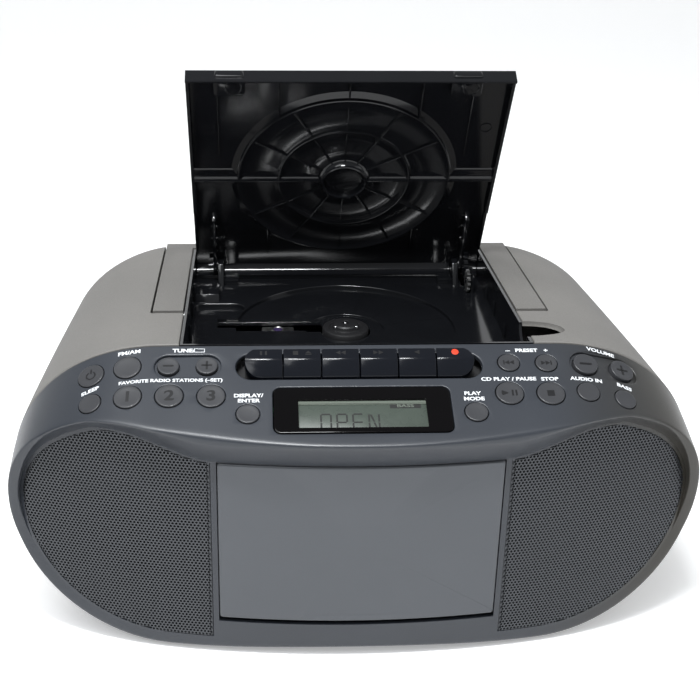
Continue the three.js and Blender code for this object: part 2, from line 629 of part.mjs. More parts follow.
function cassetteHolder() {
  const y0 = faceY + door.thick + 5.5;
  const inner = { half: 51.5, depth: 13, z0: door.bottomZ + 14, z1: doorTopZ - 9 };
  const shell = box(-inner.half - 2, inner.half + 2, y0 - 2, y0 + inner.depth, inner.z0 - 2, inner.z1);
  const hollow = box(-inner.half, inner.half, y0, y0 + inner.depth + 5, inner.z0, inner.z1 + 5);
  return shell.subtract(hollow);
}

// ---------------------------------------------------------------- controls
/** A round push button with the flange that keeps it in its hole. */
function buttonSolid(b) {
  const r = b.radius;
  const low = -wall - gap;
  return place(turned([
    [0, low - button.flangeThick - button.stem], [2, low - button.flangeThick - button.stem],
    [2, low - button.flangeThick], [r + button.flange, low - button.flangeThick], [r + button.flange, low],
    [r, low], [r, button.proud - 0.4], [r - 0.4, button.proud], [0, button.proud],
  ], 14), b.frame);
}

/** One deck key: a rounded cap on a blade that runs down to the tape mechanism. */
function keySolid(k) {
  const x = (k - (keys.count - 1) / 2) * keys.pitch;
  const half = keys.pitch / 2 - gap / 2 - 0.1;
  const d = keys.depth / 2;
  const cap = plateX([
    [-d, -6], [d, -6], [d, keys.proud - 1], [d - 1, keys.proud], [0.8, keys.proud],
    [-0.8, keys.proud - 0.6], [-d, 0.6],
  ], x - half, x + half);
  const blade = box(x - 1.2, x + 1.2, -3, 3, -21, -5);
  return place(cap.add(blade), panelMid(keys.fromStart, keys.fromStart + keys.depth));
}

function displayWindow() {
  const half = display.halfWidth - gap;
  const reach = (display.to - display.from) / 2 - gap;
  return place(box(-half, half, -reach, reach, -display.thick, 0.2), panelMid(display.from, display.to));
}

function lcdModule() {
  const reach = (display.to - display.from) / 2 - 3;
  const frame = panelMid(display.from, display.to);
  return place(box(-33, 33, -reach, reach, -display.thick - 4, -display.thick - gap), frame);
}

function controlBoard() {
  const frame = panelMid(0, 46);
  const half = body.flatHalf + 20;
  let board = box(-half, half, -12, 14, -14.6, -13);
  board = board.subtract(box(-60, 60, -0.5, 30, -20, 0));
  return place(board, frame);
}

// ---------------------------------------------------------------- sound and tape
const speaker = { x: (door.halfWidth + body.halfWidth) / 2 - 5.3, z: 66, radius: 38, depth: 26 };

function speakerSolid(side) {
  const r = speaker.radius;
  const shape = turned([
    [0, 0], [12, -2.5], [r - 5, 8], [r - 2, 9], [r, 9], [r, 6.5], [r - 4, 6.5], [19, -9], [19, -9 - speaker.depth * 0.5],
    [0, -9 - speaker.depth * 0.5],
  ].reverse(), 28);
  const y = faceY + bow(speaker.x + speaker.radius) + wall + 2 + 9;
  return shape.rotate([90, 0, 0]).translate([side * speaker.x, y, speaker.z]);
}

function speakerGrille(side) {
  const opening = speakerOpening(side, gap);
  return opening.intersect(faceSlab(0.4, 1.8));
}

const tape = { hubSpacing: 42.5, z: 68, y: faceY + 27.5 };

function tapeChassis() {
  const y = tape.y;
  let plate = box(-62, 62, y, y + 2, door.bottomZ + 6, doorTopZ + 4);
  for (const side of [-1, 1]) {
    plate = plate.subtract(bar('y', 4, y - 1, y + 3, (side * tape.hubSpacing) / 2, tape.z, 16));
  }
  return plate.subtract(bar('y', 2.5, y - 1, y + 3, 25, tape.z + 27, 12));
}

function reelHub(side) {
  let hubSolid = bar('y', 3.4, tape.y - 13, tape.y + 7, (side * tape.hubSpacing) / 2, tape.z, 16);
  for (let k = 0; k < 3; k += 1) {
    const fin = box(-0.6, 0.6, tape.y - 12, tape.y - 4, 0, 4.6)
      .rotate([0, k * 120, 0]).translate([(side * tape.hubSpacing) / 2, 0, tape.z]);
    hubSolid = hubSolid.add(fin);
  }
  const disk = bar('y', 13, tape.y - 1.5 - gap, tape.y - gap, (side * tape.hubSpacing) / 2, tape.z, 24);
  return hubSolid.add(disk);
}

function capstan() {
  const shaft = bar('y', 1.2, tape.y - 14, tape.y + 12, 25, tape.z + 27, 12);
  return shaft.add(bar('y', 17, tape.y + 8, tape.y + 12, 25, tape.z + 27, 28));
}

function tapeHead() {
  const y = tape.y - 11;
  return box(-7, 7, y, y + 10.6, doorTopZ - 7.5, doorTopZ + 1.5)
    .add(box(-26, 12, tape.y - 1.6 - gap, tape.y - gap, doorTopZ - 5, doorTopZ + 3));
}

// ---------------------------------------------------------------- disc mechanism
function spindleSolid() {
  const z = bay.floorZ;
  return turned([
    [0, z - 12], [3, z - 12], [3, z - 6], [disc.spindleRadius, z - 6], [disc.spindleRadius, z - 1.8],
    [disc.spindleRadius - 1, z - 1.2], [7.4, z - 1.2], [7.2, z + 0.6], [4, z + 1.6], [0, z + 1.6],
  ], 28).translate([0, hubY, disc.rise]);
}

function mechanismPlate() {
  const z = bay.floorZ - 11.5;
  const plate = box(-disc.slotEnd - 6, 34, hubY - 34, hubY + 30, z - 2, z);
  return plate.subtract(bar('z', 3 + gap, z - 5, z + 5, 0, hubY, 16))
    .add(bar('x', 1.2, -disc.slotEnd + 2, -16, hubY + 8.4, z + 3.4, 10))
    .add(box(-disc.slotEnd + 2, -disc.slotEnd + 4, hubY + 7, hubY + 10, z - 0.5, z + 5))
    .add(box(-17, -15, hubY + 7, hubY + 10, z - 0.5, z + 5));
}

function opticalPickup() {
  const z = bay.floorZ - 11.5;
  const x = -disc.pickupX;
  const sled = box(x - 9, x + 9, hubY - 0.4, hubY + 10.6, z + 0.6, z + 9.8)
    .subtract(bar('x', 1.2 + gap, x - 12, x + 12, hubY + 8.4, z + 3.4, 10));
  return sled.add(bar('z', 3.2, z + 9, z + 11, x, hubY + 3.6, 20));
}

// ---------------------------------------------------------------- back and base
function transformer() {
  const y = body.rearY - 62.3;
  const x = -body.flatHalf - 21;
  return box(x - 17, x + 17, y - 17, y + 17, 22, 56).add(box(x - 21, x + 21, y - 9, y + 9, 30, 50));
}

function acInlet() {
  const y = body.rearY - inlet.deep;
  const block = box(inlet.x - 7.2, inlet.x + 7.2, y - 9, y + 4.5, inlet.z - 3.7, inlet.z + 3.7);
  const well = box(inlet.x - 5.4, inlet.x + 5.4, y - 6, y + 6, inlet.z - 2.4, inlet.z + 2.4);
  return block.subtract(well);
}

function batteryDoorSolid() {
  const d = batteryDoor;
  return box(-d.halfWidth, d.halfWidth, body.rearY - d.thick, body.rearY, d.bottomZ, d.bottomZ + d.height)
    .add(box(-12, 12, body.rearY - 0.5, body.rearY + 1.2, d.bottomZ + d.height - 9, d.bottomZ + d.height - 3));
}

function antennaBase() {
  const a = antenna;
  const turret = bar('x', a.turret, a.x - 9, a.x + 11.5, a.y, a.z, 20);
  const fork = box(a.x - 9.5, a.x - 1, a.y - 8, a.y + 8, a.z - 2.55, a.z + 2.55);
  return turret.subtract(fork).add(bar('z', 1.3, a.z - 4.3, a.z + 4.3, a.x - 5, a.y, 12));
}

/** One telescopic tube along X, from its inner end to its outer end. */
function tube(outer, inner, from, to) {
  const a = antenna;
  const whole = bar('x', outer, from, to, a.y, a.z, 16);
  return inner > 0 ? whole.subtract(bar('x', inner, from - 1, to - 6, a.y, a.z, 16)) : whole;
}

/** Outer tube of the antenna with the eye that the base's pin holds. */
function antennaMast() {
  const a = antenna;
  const eyeX = a.x - 5;
  const end = eyeX - 5.8 - a.length;
  const walls = bar('x', a.radius, end, eyeX - 5.8, a.y, a.z, 16)
    .subtract(bar('x', 2.3, end - 1, eyeX - 14, a.y, a.z, 16));
  const eye = box(eyeX - 7, eyeX + 2.8, a.y - 1.9, a.y + 1.9, a.z - 2.2, a.z + 2.2);
  return walls.add(eye).subtract(bar('z', 1.3 + gap, a.z - 9, a.z + 9, eyeX, a.y, 12));
}

/** Innermost rod with the knob that it is pulled by. */
function antennaTip() {
  const a = antenna;
  const end = a.x - 10.8 - a.length - gap;
  return bar('x', 1.1, end - 2, a.x - 30, a.y, a.z, 12).add(bar('x', 2.6, end - 4.5, end, a.y, a.z, 16));
}

function foot(x, y) {
  const top = body.bottomZ - 0.3;
  return turned([[0, 0], [7.5, 0], [8, 0.6], [8, top], [0, top]], 20).translate([x, y, 0]);
}

// ---------------------------------------------------------------- assembly
const group = new THREE.Group();

/** Adds one named piece with its finish, in the finished frame. */
function add(name, manifold, colour, roughness = 0.5, metalness = 0) {
  const material = new THREE.MeshStandardMaterial({ color: colour, roughness, metalness });
  const mesh = new THREE.Mesh(toGeometry(manifold.translate([0, -outlineMiddle, 0])), material);
  mesh.name = name;
  group.add(mesh);
}

add('front_cabinet', frontCabinet(), 0x34383f, 0.55);
add('rear_cabinet', rearCabinet(), 0x6f6d69, 0.75);
add('cd_bay_tray', bayTray(), 0x0b0b0c, 0.2);
add('cd_lid', atPivot(lidClosed(), -lid.openAngle), 0x0b0b0c, 0.2);
add('lid_damper_gear', damperGear(), 0xd8d6cc, 0.4);
add('handle', handleSolid(), 0x6f6d69, 0.7);
add('cassette_door', doorSolid(), 0x4a4d52, 0.35, 0.3);
add('cassette_holder', cassetteHolder(), 0x1a1b1d, 0.5);
for (const b of buttons) add(`button_${b.name}`, buttonSolid(b), 0x25272b, 0.3);
['pause', 'stop_eject', 'rewind', 'forward', 'play', 'record'].forEach((name, k) => {
  add(`key_${name}`, keySolid(k), 0x17181b, 0.25);
});
add('display_window', displayWindow(), 0x050506, 0.08);
add('lcd_module', lcdModule(), 0x8d9384, 0.3);
add('control_board', controlBoard(), 0x1d5a35, 0.6);
for (const [name, side] of [['left', -1], ['right', 1]]) {
  add(`speaker_grille_${name}`, speakerGrille(side), 0x2a2c30, 0.5, 0.6);
  add(`speaker_${name}`, speakerSolid(side), 0x151515, 0.8);
}
add('tape_chassis', tapeChassis(), 0x9a9a98, 0.4, 0.8);
add('tape_head', tapeHead(), 0xb8b8b4, 0.3, 0.9);
add('supply_reel_hub', reelHub(-1), 0xdedcd4, 0.4);
add('takeup_reel_hub', reelHub(1), 0xdedcd4, 0.4);
add('capstan', capstan(), 0xa8a8a6, 0.3, 0.9);
add('cd_spindle', spindleSolid(), 0x111111, 0.3);
add('cd_mechanism_plate', mechanismPlate(), 0x3a3a3c, 0.5);
add('optical_pickup', opticalPickup(), 0x55565a, 0.4, 0.5);
add('power_transformer', transformer(), 0x77756e, 0.5, 0.6);
add('ac_inlet', acInlet(), 0x0c0c0c, 0.5);
add('battery_door', batteryDoorSolid(), 0x6f6d69, 0.75);
add('antenna_base', antennaBase(), 0x9c9c9c, 0.3, 0.8);
const mastFrom = antenna.x - 1.5;
add('antenna_mast', antennaMast(), 0xc4c4c4, 0.2, 1);
add('antenna_middle', tube(2.0, 1.45, mastFrom - antenna.length + 12, mastFrom - 20), 0xc4c4c4, 0.2, 1);
add('antenna_tip', antennaTip(), 0xc4c4c4, 0.2, 1);
const footX = body.flatHalf + 4;
const footFront = seamY - 4;
const footRear = body.rearY - 37.3;
[[-footX, footFront], [footX, footFront], [-footX, footRear], [footX, footRear]].forEach(([x, y], k) => {
  add(`foot_${k + 1}`, foot(x, y), 0x0e0e0e, 0.9);
});

export default group;
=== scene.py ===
"""Looks of a portable CD, radio and cassette player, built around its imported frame.

Shapes are worked out in millimetres and written to Blender in metres. +Z is up, -Y is the front.
"""

from __future__ import annotations

import logging
import math
from dataclasses import dataclass, field
from enum import Enum
from typing import Callable, Iterable, Sequence

import bmesh
import bpy
from mathutils import Matrix, Vector

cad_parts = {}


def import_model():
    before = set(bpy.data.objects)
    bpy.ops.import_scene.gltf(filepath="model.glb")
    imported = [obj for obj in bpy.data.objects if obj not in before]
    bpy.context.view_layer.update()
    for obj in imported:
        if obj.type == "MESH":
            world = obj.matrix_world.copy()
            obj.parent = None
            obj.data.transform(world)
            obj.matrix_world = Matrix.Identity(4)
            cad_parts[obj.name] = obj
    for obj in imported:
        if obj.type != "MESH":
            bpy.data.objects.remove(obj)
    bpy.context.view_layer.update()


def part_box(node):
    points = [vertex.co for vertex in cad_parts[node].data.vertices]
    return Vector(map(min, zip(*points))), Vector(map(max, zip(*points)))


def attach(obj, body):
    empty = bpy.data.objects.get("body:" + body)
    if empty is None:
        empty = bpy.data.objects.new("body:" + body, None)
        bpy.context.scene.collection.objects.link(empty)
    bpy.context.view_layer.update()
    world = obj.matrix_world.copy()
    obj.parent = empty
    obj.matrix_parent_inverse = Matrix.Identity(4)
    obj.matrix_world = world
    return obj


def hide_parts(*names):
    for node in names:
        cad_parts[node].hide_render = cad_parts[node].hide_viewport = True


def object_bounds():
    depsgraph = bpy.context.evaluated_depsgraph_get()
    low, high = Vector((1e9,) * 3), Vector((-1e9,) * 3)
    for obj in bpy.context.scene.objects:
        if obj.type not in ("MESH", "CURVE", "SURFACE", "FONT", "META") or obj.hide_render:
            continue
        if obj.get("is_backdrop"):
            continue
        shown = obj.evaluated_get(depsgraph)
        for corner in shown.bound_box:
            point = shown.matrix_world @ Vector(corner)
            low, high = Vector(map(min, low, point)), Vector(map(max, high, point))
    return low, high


log = logging.getLogger("player")

MM = 0.001
Pair = tuple[float, float]
Ring = list[Vector]


class Axis(Enum):
    """The direction that a prism or bar runs along."""

    X = "x"
    Y = "y"
    Z = "z"


class Cut(Enum):
    """The ways two solids are combined."""

    ADD = "UNION"
    TAKE = "DIFFERENCE"
    KEEP = "INTERSECT"


# ------------------------------------------------------------------ solids


def smooth_step(t: float) -> float:
    """Eases t from 0 to 1, and holds it there outside."""
    t = min(1.0, max(0.0, t))
    return t * t * (3 - 2 * t)


class Solid:
    """A closed shape in millimetres."""

    def __init__(self, mesh: bpy.types.Mesh) -> None:
        """Keeps a mesh as the solid's skin."""
        self.mesh = mesh

    @classmethod
    def of(cls, points: Iterable[Sequence[float]], faces: Iterable[Sequence[int]]) -> Solid:
        """Makes a solid with its faces turned outwards.

        Args:
            points: The corners, in millimetres.
            faces: Corner numbers of each face.

        Returns:
            The solid.
        """
        mesh = bpy.data.meshes.new("solid")
        mesh.from_pydata([tuple(p) for p in points], [], [tuple(f) for f in faces])
        work = bmesh.new()
        work.from_mesh(mesh)
        bmesh.ops.remove_doubles(work, verts=work.verts, dist=1e-4)
        bmesh.ops.recalc_face_normals(work, faces=work.faces)
        work.to_mesh(mesh)
        work.free()
        return cls(mesh)

    def moved(self, matrix: Matrix) -> Solid:
        """Returns a copy put through a matrix, with its faces still outwards."""
        mesh = self.mesh.copy()
        mesh.transform(matrix)
        if matrix.determinant() < 0:
            mesh.flip_normals()
        return Solid(mesh)

    def shifted(self, x: float = 0.0, y: float = 0.0, z: float = 0.0) -> Solid:
        """Returns a copy moved by x, y and z."""
        return self.moved(Matrix.Translation((x, y, z)))

    def mirrored(self) -> Solid:
        """Returns the copy on the other side of the middle."""
        return self.moved(Matrix.Scale(-1, 4, (1, 0, 0)))

    def both_sides(self) -> Solid:
        """Returns this shape together with its mirror image."""
        return gather([self, self.mirrored()])

    def bent(self, rule: Callable[[Vector], Vector]) -> Solid:
        """Returns a copy with every corner put through a rule."""
        mesh = self.mesh.copy()
        for corner in mesh.vertices:
            corner.co = rule(corner.co.copy())
        return Solid(mesh)

    def combined(self, other: Solid, how: Cut) -> Solid:
        """Joins, cuts or intersects this solid with another.

        Args:
            other: The second solid.
            how: What to do with it.

        Returns:
            The new solid.
        """
        first = bpy.data.objects.new("first", self.mesh)
        second = bpy.data.objects.new("second", other.mesh)
        for item in (first, second):
            bpy.context.scene.collection.objects.link(item)
        step = first.modifiers.new("step", "BOOLEAN")
        step.object = second
        step.operation = how.value
        step.solver = "MANIFOLD"
        mesh = evaluated(first)
        for item in (first, second):
            bpy.data.objects.remove(item)
        if not mesh.polygons:
            raise ValueError(f"nothing is left after {how.name}")
        return Solid(mesh)

    def __add__(self, other: Solid) -> Solid:
        """Joins two solids."""
        return self.combined(other, Cut.ADD)

    def __sub__(self, other: Solid) -> Solid:
        """Cuts the other solid away."""
        return self.combined(other, Cut.TAKE)

    def __and__(self, other: Solid) -> Solid:
        """Keeps what both solids share."""
        return self.combined(other, Cut.KEEP)

    def rounded(self, width: float, angle: float = 35.0, segments: int = 2) -> Solid:
        """Rounds the edges that are sharper than an angle in degrees.

        Args:
            width: How wide the rounding is.
            angle: The least angle between faces that is rounded.
            segments: The facets of one rounding.

        Returns:
            The rounded solid.
        """
        item = bpy.data.objects.new("rounding", self.mesh)
        bpy.context.scene.collection.objects.link(item)
        step = item.modifiers.new("round", "BEVEL")
        step.width = width
        step.segments = segments
        step.limit_method = "ANGLE"
        step.angle_limit = math.radians(angle)
        mesh = evaluated(item)
        bpy.data.objects.remove(item)
        return Solid(mesh)

    def object(self, name: str, smooth_angle: float = 32.0) -> bpy.types.Object:
        """Turns the solid into a Blender object in metres.

        Args:
            name: The object's name.
            smooth_angle: Edges flatter than this are shaded smooth.

        Returns:
            The object, at the origin.
        """
        mesh = self.mesh.copy()
        mesh.name = name
        mesh.transform(Matrix.Scale(MM, 4))
        mesh.materials.clear()
        mesh.shade_smooth()
        mesh.set_sharp_from_angle(angle=math.radians(smooth_angle))
        item = bpy.data.objects.new(name, mesh)
        bpy.context.scene.collection.objects.link(item)
        return item


def evaluated(item: bpy.types.Object) -> bpy.types.Mesh:
    """Returns an object's mesh with its modifiers applied."""
    graph = bpy.context.evaluated_depsgraph_get()
    return bpy.data.meshes.new_from_object(item.evaluated_get(graph))


def gather(solids: Iterable[Solid]) -> Solid:
    """Puts several solids into one mesh without cutting them."""
    work = bmesh.new()
    for part in solids:
        work.from_mesh(part.mesh)
    mesh = bpy.data.meshes.new("solid")
    work.to_mesh(mesh)
    work.free()
    return Solid(mesh)


def loft(rings: Sequence[Ring], closed: bool = False) -> Solid:
    """Joins rings of equal point counts into one closed solid.

    Args:
        rings: The rings, in order.
        closed: Whether the last ring joins the first, as in a tube bent into a loop.

    Returns:
        The solid, with its ends capped where it isn't closed.
    """
    count = len(rings[0])
    points = [p for ring in rings for p in ring]
    faces = []
    for k in range(len(rings) if closed else len(rings) - 1):
        here = k * count
        after = ((k + 1) % len(rings)) * count
        for i in range(count):
            j = (i + 1) % count
            faces.append((here + i, after + i, after + j, here + j))
    if not closed:
        for k in (0, len(rings) - 1):
            middle = sum(rings[k], Vector()) / count
            tip = len(points)
            points.append(middle)
            for i in range(count):
                faces.append((tip, k * count + i, k * count + (i + 1) % count))
    return Solid.of(points, faces)


def prism(outline: Sequence[Pair], axis: Axis, low: float, high: float) -> Solid:
    """Extrudes an outline: [y, z] along X, [x, z] along Y or [x, y] along Z."""
    def corner(a: float, b: float, c: float) -> tuple[float, float, float]:
        """Puts two outline coordinates and a depth into space."""
        if axis is Axis.X:
            return c, a, b
        return (a, c, b) if axis is Axis.Y else (a, b, c)

    count = len(outline)
    points = [corner(a, b, c) for c in (low, high) for a, b in outline]
    faces = [tuple(range(count)), tuple(range(count, 2 * count))]
    faces += [(i, (i + 1) % count, count + (i + 1) % count, count + i) for i in range(count)]
    return Solid.of(points, faces)


def box(x0: float, x1: float, y0: float, y1: float, z0: float, z1: float) -> Solid:
    """A block between two corners."""
    return prism([(x0, y0), (x1, y0), (x1, y1), (x0, y1)], Axis.Z, z0, z1)


def arc(radius: float, start: float, end: float, steps: int, at: Pair = (0, 0)) -> list[Pair]:
    """Points on a circle, from one angle in degrees to another."""
    turns = [math.radians(start + (end - start) * i / steps) for i in range(steps + 1)]
    return [(at[0] + radius * math.cos(t), at[1] + radius * math.sin(t)) for t in turns]


def round_rect(half_a: float, half_b: float, radius: float, steps: int = 6, at: Pair = (0, 0)) -> list[Pair]:
    """A rectangle with round corners, counterclockwise."""
    points: list[Pair] = []
    for k, (sa, sb) in enumerate(((1, 1), (-1, 1), (-1, -1), (1, -1))):
        centre = (at[0] + sa * (half_a - radius), at[1] + sb * (half_b - radius))
        points += arc(radius, 90 * k, 90 * k + 90, steps, centre)
    return points


def bar(axis: Axis, radius: float, low: float, high: float, a: float, b: float, sides: int = 32) -> Solid:
    """A round bar, centred on its two other coordinates."""
    return prism(arc(radius, 0, 360 - 360 / sides, sides - 1, (a, b)), axis, low, high)


def turned(profile: Sequence[Pair], sides: int = 48) -> Solid:
    """A piece turned about Z from (radius, height) pairs, from axis to axis."""
    points: list[Vector] = []
    rows: list[list[int]] = []
    for radius, height in profile:
        if radius < 1e-6:
            rows.append([len(points)] * sides)
            points.append(Vector((0, 0, height)))
            continue
        rows.append(list(range(len(points), len(points) + sides)))
        for i in range(sides):
            t = 2 * math.pi * i / sides
            points.append(Vector((radius * math.cos(t), radius * math.sin(t), height)))
    faces = []
    for low, high in zip(rows, rows[1:]):
        for i in range(sides):
            j = (i + 1) % sides
            face = dict.fromkeys((low[i], low[j], high[j], high[i]))
            if len(face) > 2:
                faces.append(tuple(face))
    return Solid.of(points, faces)


def band(outer: float, inner: float, low: float, high: float, soft: float = 0.3, sides: int = 64) -> Solid:
    """A raised ring about Z with softened upper edges."""
    profile = [(inner, low), (outer, low), (outer, high - soft), (outer - soft, high),
               (inner + soft, high), (inner, high - soft)]
    rings = []
    for radius, height in profile:
        rings.append([Vector((x, y, height)) for x, y in arc(radius, 0, 360 - 360 / sides, sides - 1)])
    return loft(rings, closed=True)


def flared(outline: Callable[[float], list[Pair]], low: float, flare: float, top: float = 6.0) -> Solid:
    """A cutter about Z whose sides curve outwards where they meet the surface at height 0.

    Args:
        outline: Gives the outline, grown by a distance.
        low: Where the cutter ends below the surface.
        flare: Radius of the curved lip that it leaves.
        top: Where it ends above the surface.

    Returns:
        The cutter.
    """
    levels = [(0.0, low)]
    for i in range(5):
        t = math.radians(22.5 * i)
        levels.append((flare * (1 - math.cos(t)), -flare + flare * math.sin(t)))
    levels.append((flare + 0.02, top))
    return loft([[Vector((x, y, z)) for x, y in outline(grow)] for grow, z in levels])


def circle(radius: float, sides: int = 40) -> Callable[[float], list[Pair]]:
    """Gives the outline of a circle that can be grown."""
    return lambda grow: arc(radius + grow, 0, 360 - 360 / sides, sides - 1)


# ------------------------------------------------------------------ shader maths


class Sock:
    """A node socket that takes part in ordinary sums."""

    def __init__(self, graph: Graph, link: bpy.types.NodeSocket) -> None:
        """Keeps the socket and the graph that it belongs to."""
        self.graph = graph
        self.link = link

    def _math(self, operation: str, *values: object) -> Sock:
        """Adds a Math node and returns its result."""
        return self.graph.node("ShaderNodeMath", {"operation": operation}, dict(enumerate(values)))

    def __add__(self, other: object) -> Sock:
        """Sum."""
        return self._math("ADD", self, other)

    def __radd__(self, other: object) -> Sock:
        """Sum with a number first."""
        return self._math("ADD", other, self)

    def __sub__(self, other: object) -> Sock:
        """Difference."""
        return self._math("SUBTRACT", self, other)

    def __rsub__(self, other: object) -> Sock:
        """Difference with a number first."""
        return self._math("SUBTRACT", other, self)

    def __mul__(self, other: object) -> Sock:
        """Product."""
        return self._math("MULTIPLY", self, other)

    def __rmul__(self, other: object) -> Sock:
        """Product with a number first."""
        return self._math("MULTIPLY", other, self)

    def __truediv__(self, other: object) -> Sock:
        """Quotient."""
        return self._math("DIVIDE", self, other)

    def __gt__(self, other: object) -> Sock:
        """1 where this is greater, else 0."""
        return self._math("GREATER_THAN", self, other)

    def __lt__(self, other: object) -> Sock:
        """1 where this is less, else 0."""
        return self._math("LESS_THAN", self, other)

    def clamp(self, low: float = 0.0, high: float = 1.0) -> Sock:
        """Holds the value between two limits."""
        return self._math("MAXIMUM", self._math("MINIMUM", self, high), low)

    def absolute(self) -> Sock:
        """The value without its sign."""
        return self._math("ABSOLUTE", self)


class Graph:
    """A material's node tree."""

    def __init__(self, name: str) -> None:
        """Makes a material with an empty tree."""
        self.material = bpy.data.materials.new(name)
        self.material.use_nodes = True
        self.tree = self.material.node_tree
        self.tree.nodes.clear()

    def node(self, kind: str, settings: dict | None = None, inputs: dict | None = None, out: object = 0) -> Sock:
        """Adds any node.

        Args:
            kind: The node's type.
            settings: Properties, set first.
            inputs: Socket names or numbers with their numbers, colours or links.
            out: Which output is returned.

        Returns:
            The chosen output.
        """
        made = self.tree.nodes.new(kind)
        for key, value in (settings or {}).items():
            setattr(made, key, value)
        for key, value in (inputs or {}).items():
            if isinstance(value, Sock):
                self.tree.links.new(value.link, made.inputs[key])
            else:
                made.inputs[key].default_value = value
        return Sock(self, made.outputs[out])

    def place(self, centre: Sequence[float] = (0, 0, 0), scale: Sequence[float] = (1, 1, 1)) -> Sock:
        """The point in the object's own coordinates, in metres."""
        where = self.node("ShaderNodeTexCoord", out="Object")
        settings = {"Vector": where, "Location": [-c for c in centre], "Scale": list(scale)}
        return self.node("ShaderNodeMapping", None, settings)

    def noise(self, scale: float, detail: float = 2.0, rough: float = 0.5, at: Sock | None = None) -> Sock:
        """A soft random pattern from 0 to 1, scale in cells per metre."""
        inputs = {"Vector": at or self.place(), "Scale": scale, "Detail": detail, "Roughness": rough}
        return self.node("ShaderNodeTexNoise", None, inputs)

    def cells(self, scale: float) -> Sock:
        """A pebbled pattern: distance to the nearest of many points."""
        return self.node("ShaderNodeTexVoronoi", None, {"Vector": self.place(), "Scale": scale})

    def axis(self, name: str) -> Sock:
        """One coordinate of the place on the object, in metres."""
        return self.node("ShaderNodeSeparateXYZ", None, {0: self.place()}, out=name)

    def mix(self, share: object, first: object, second: object) -> Sock:
        """Blends two colours by a share."""
        settings = {"data_type": "RGBA", "clamp_factor": True}
        return self.node("ShaderNodeMix", settings, {0: share, 6: first, 7: second}, out=2)

    def bump(self, height: Sock, distance: float, strength: float = 1.0) -> Sock:
        """Turns a height pattern into a normal, distance in metres."""
        inputs = {"Height": height, "Distance": distance, "Strength": strength}
        return self.node("ShaderNodeBump", None, inputs)

    def finish(self, **inputs: object) -> bpy.types.Material:
        """Ends the tree in one glossy surface."""
        named = {key.replace("_", " ").title().replace("Ior", "IOR"): value for key, value in inputs.items()}
        surface = self.node("ShaderNodeBsdfPrincipled", None, named)
        self.node_out(surface)
        return self.material

    def node_out(self, surface: Sock) -> None:
        """Links a shader to the material's output."""
        made = self.tree.nodes.new("ShaderNodeOutputMaterial")
        self.tree.links.new(surface.link, made.inputs["Surface"])


Colour = tuple[float, float, float]


def rgba(colour: Colour, factor: float = 1.0) -> tuple[float, float, float, float]:
    """A colour for a node socket, made lighter or darker by a factor."""
    return (colour[0] * factor, colour[1] * factor, colour[2] * factor, 1.0)


@dataclass(frozen=True)
class Moulded:
    """Moulded plastic: a colour, a grain, a slight unevenness of colour and gloss, and painted shade towards the right
    end where asked.
    """

    name: str
    colour: Colour
    rough: float = 0.4
    grain: float = 2500.0
    depth: float = 0.00003
    uneven: float = 0.12
    coat: float = 0.0
    metal: float = 0.0
    # Share of painted shade, darker and warmer, towards the right end.
    right_end_painted_shade: float = 0.0

    def material(self) -> bpy.types.Material:
        """Builds the material."""
        g = Graph(self.name)
        pebbles = g.cells(self.grain)
        clouds = g.noise(18.0, 3.0)
        specks = g.noise(self.grain * 0.8, 2.0, 0.7)
        blend = (clouds * 0.5 + specks * 0.5 - 0.25) * 2
        colour = g.mix(blend.clamp(), rgba(self.colour, 1 - self.uneven), rgba(self.colour, 1 + self.uneven))
        # Painted shade: towards the right end the colour turns darker and warmer, for the light falling off on that
        # side.
        if self.right_end_painted_shade:
            end = ((g.axis("X") - 0.09) * 14).clamp() * self.right_end_painted_shade
            colour = g.mix(end, colour, rgba((0.034, 0.030, 0.022)))
        rough = self.rough + (clouds - 0.5) * 0.12 + (pebbles - 0.4) * 0.08
        normal = g.bump(pebbles, self.depth)
        return g.finish(base_color=colour, roughness=rough.clamp(0.03, 1.0), metallic=self.metal,
                        coat_weight=self.coat, coat_roughness=0.06, normal=normal)


@dataclass(frozen=True)
class Gloss:
    """Polished plastic with faint flow marks and fine rubbing from use."""

    name: str
    colour: Colour
    rough: float = 0.12
    ripple: float = 0.00004
    shine: float = 0.5

    def material(self) -> bpy.types.Material:
        """Builds the material."""
        g = Graph(self.name)
        flow = g.noise(45.0, 2.0, 0.4)
        rub = g.noise(1400.0, 3.0, 0.8)
        colour = g.mix(flow, rgba(self.colour, 0.85), rgba(self.colour, 1.2))
        rough = self.rough + (rub - 0.5) * 0.12 + (flow - 0.5) * 0.08
        normal = g.bump(flow, self.ripple, 0.6)
        return g.finish(base_color=colour, roughness=rough.clamp(0.03, 1.0), specular_ior_level=self.shine,
                        normal=normal)


@dataclass(frozen=True)
class Metal:
    """Plated or brushed metal, drawn along X."""

    name: str
    colour: Colour
    rough: float = 0.22
    brush: float = 0.00001

    def material(self) -> bpy.types.Material:
        """Builds the material."""
        g = Graph(self.name)
        along = g.noise(900.0, 3.0, 0.6, g.place(scale=(0.03, 1, 1)))
        stain = g.noise(60.0, 3.0)
        colour = g.mix(stain, rgba(self.colour, 0.86), rgba(self.colour, 1.08))
        rough = self.rough + (along - 0.5) * 0.2 + (stain - 0.5) * 0.08
        return g.finish(base_color=colour, roughness=rough.clamp(0.05, 1.0), metallic=1.0,
                        normal=g.bump(along, self.brush))


@dataclass(frozen=True)
class Print:
    """Pad-printed ink with a slightly broken edge."""

    name: str
    colour: Colour
    rough: float = 0.55

    def material(self) -> bpy.types.Material:
        """Builds the material."""
        g = Graph(self.name)
        wear = g.noise(3000.0, 2.0, 0.7)
        colour = g.mix(wear, rgba(self.colour, 0.86), rgba(self.colour))
        return g.finish(base_color=colour, roughness=(self.rough + (wear - 0.5) * 0.2).clamp(),
                        normal=g.bump(wear, 0.00001))


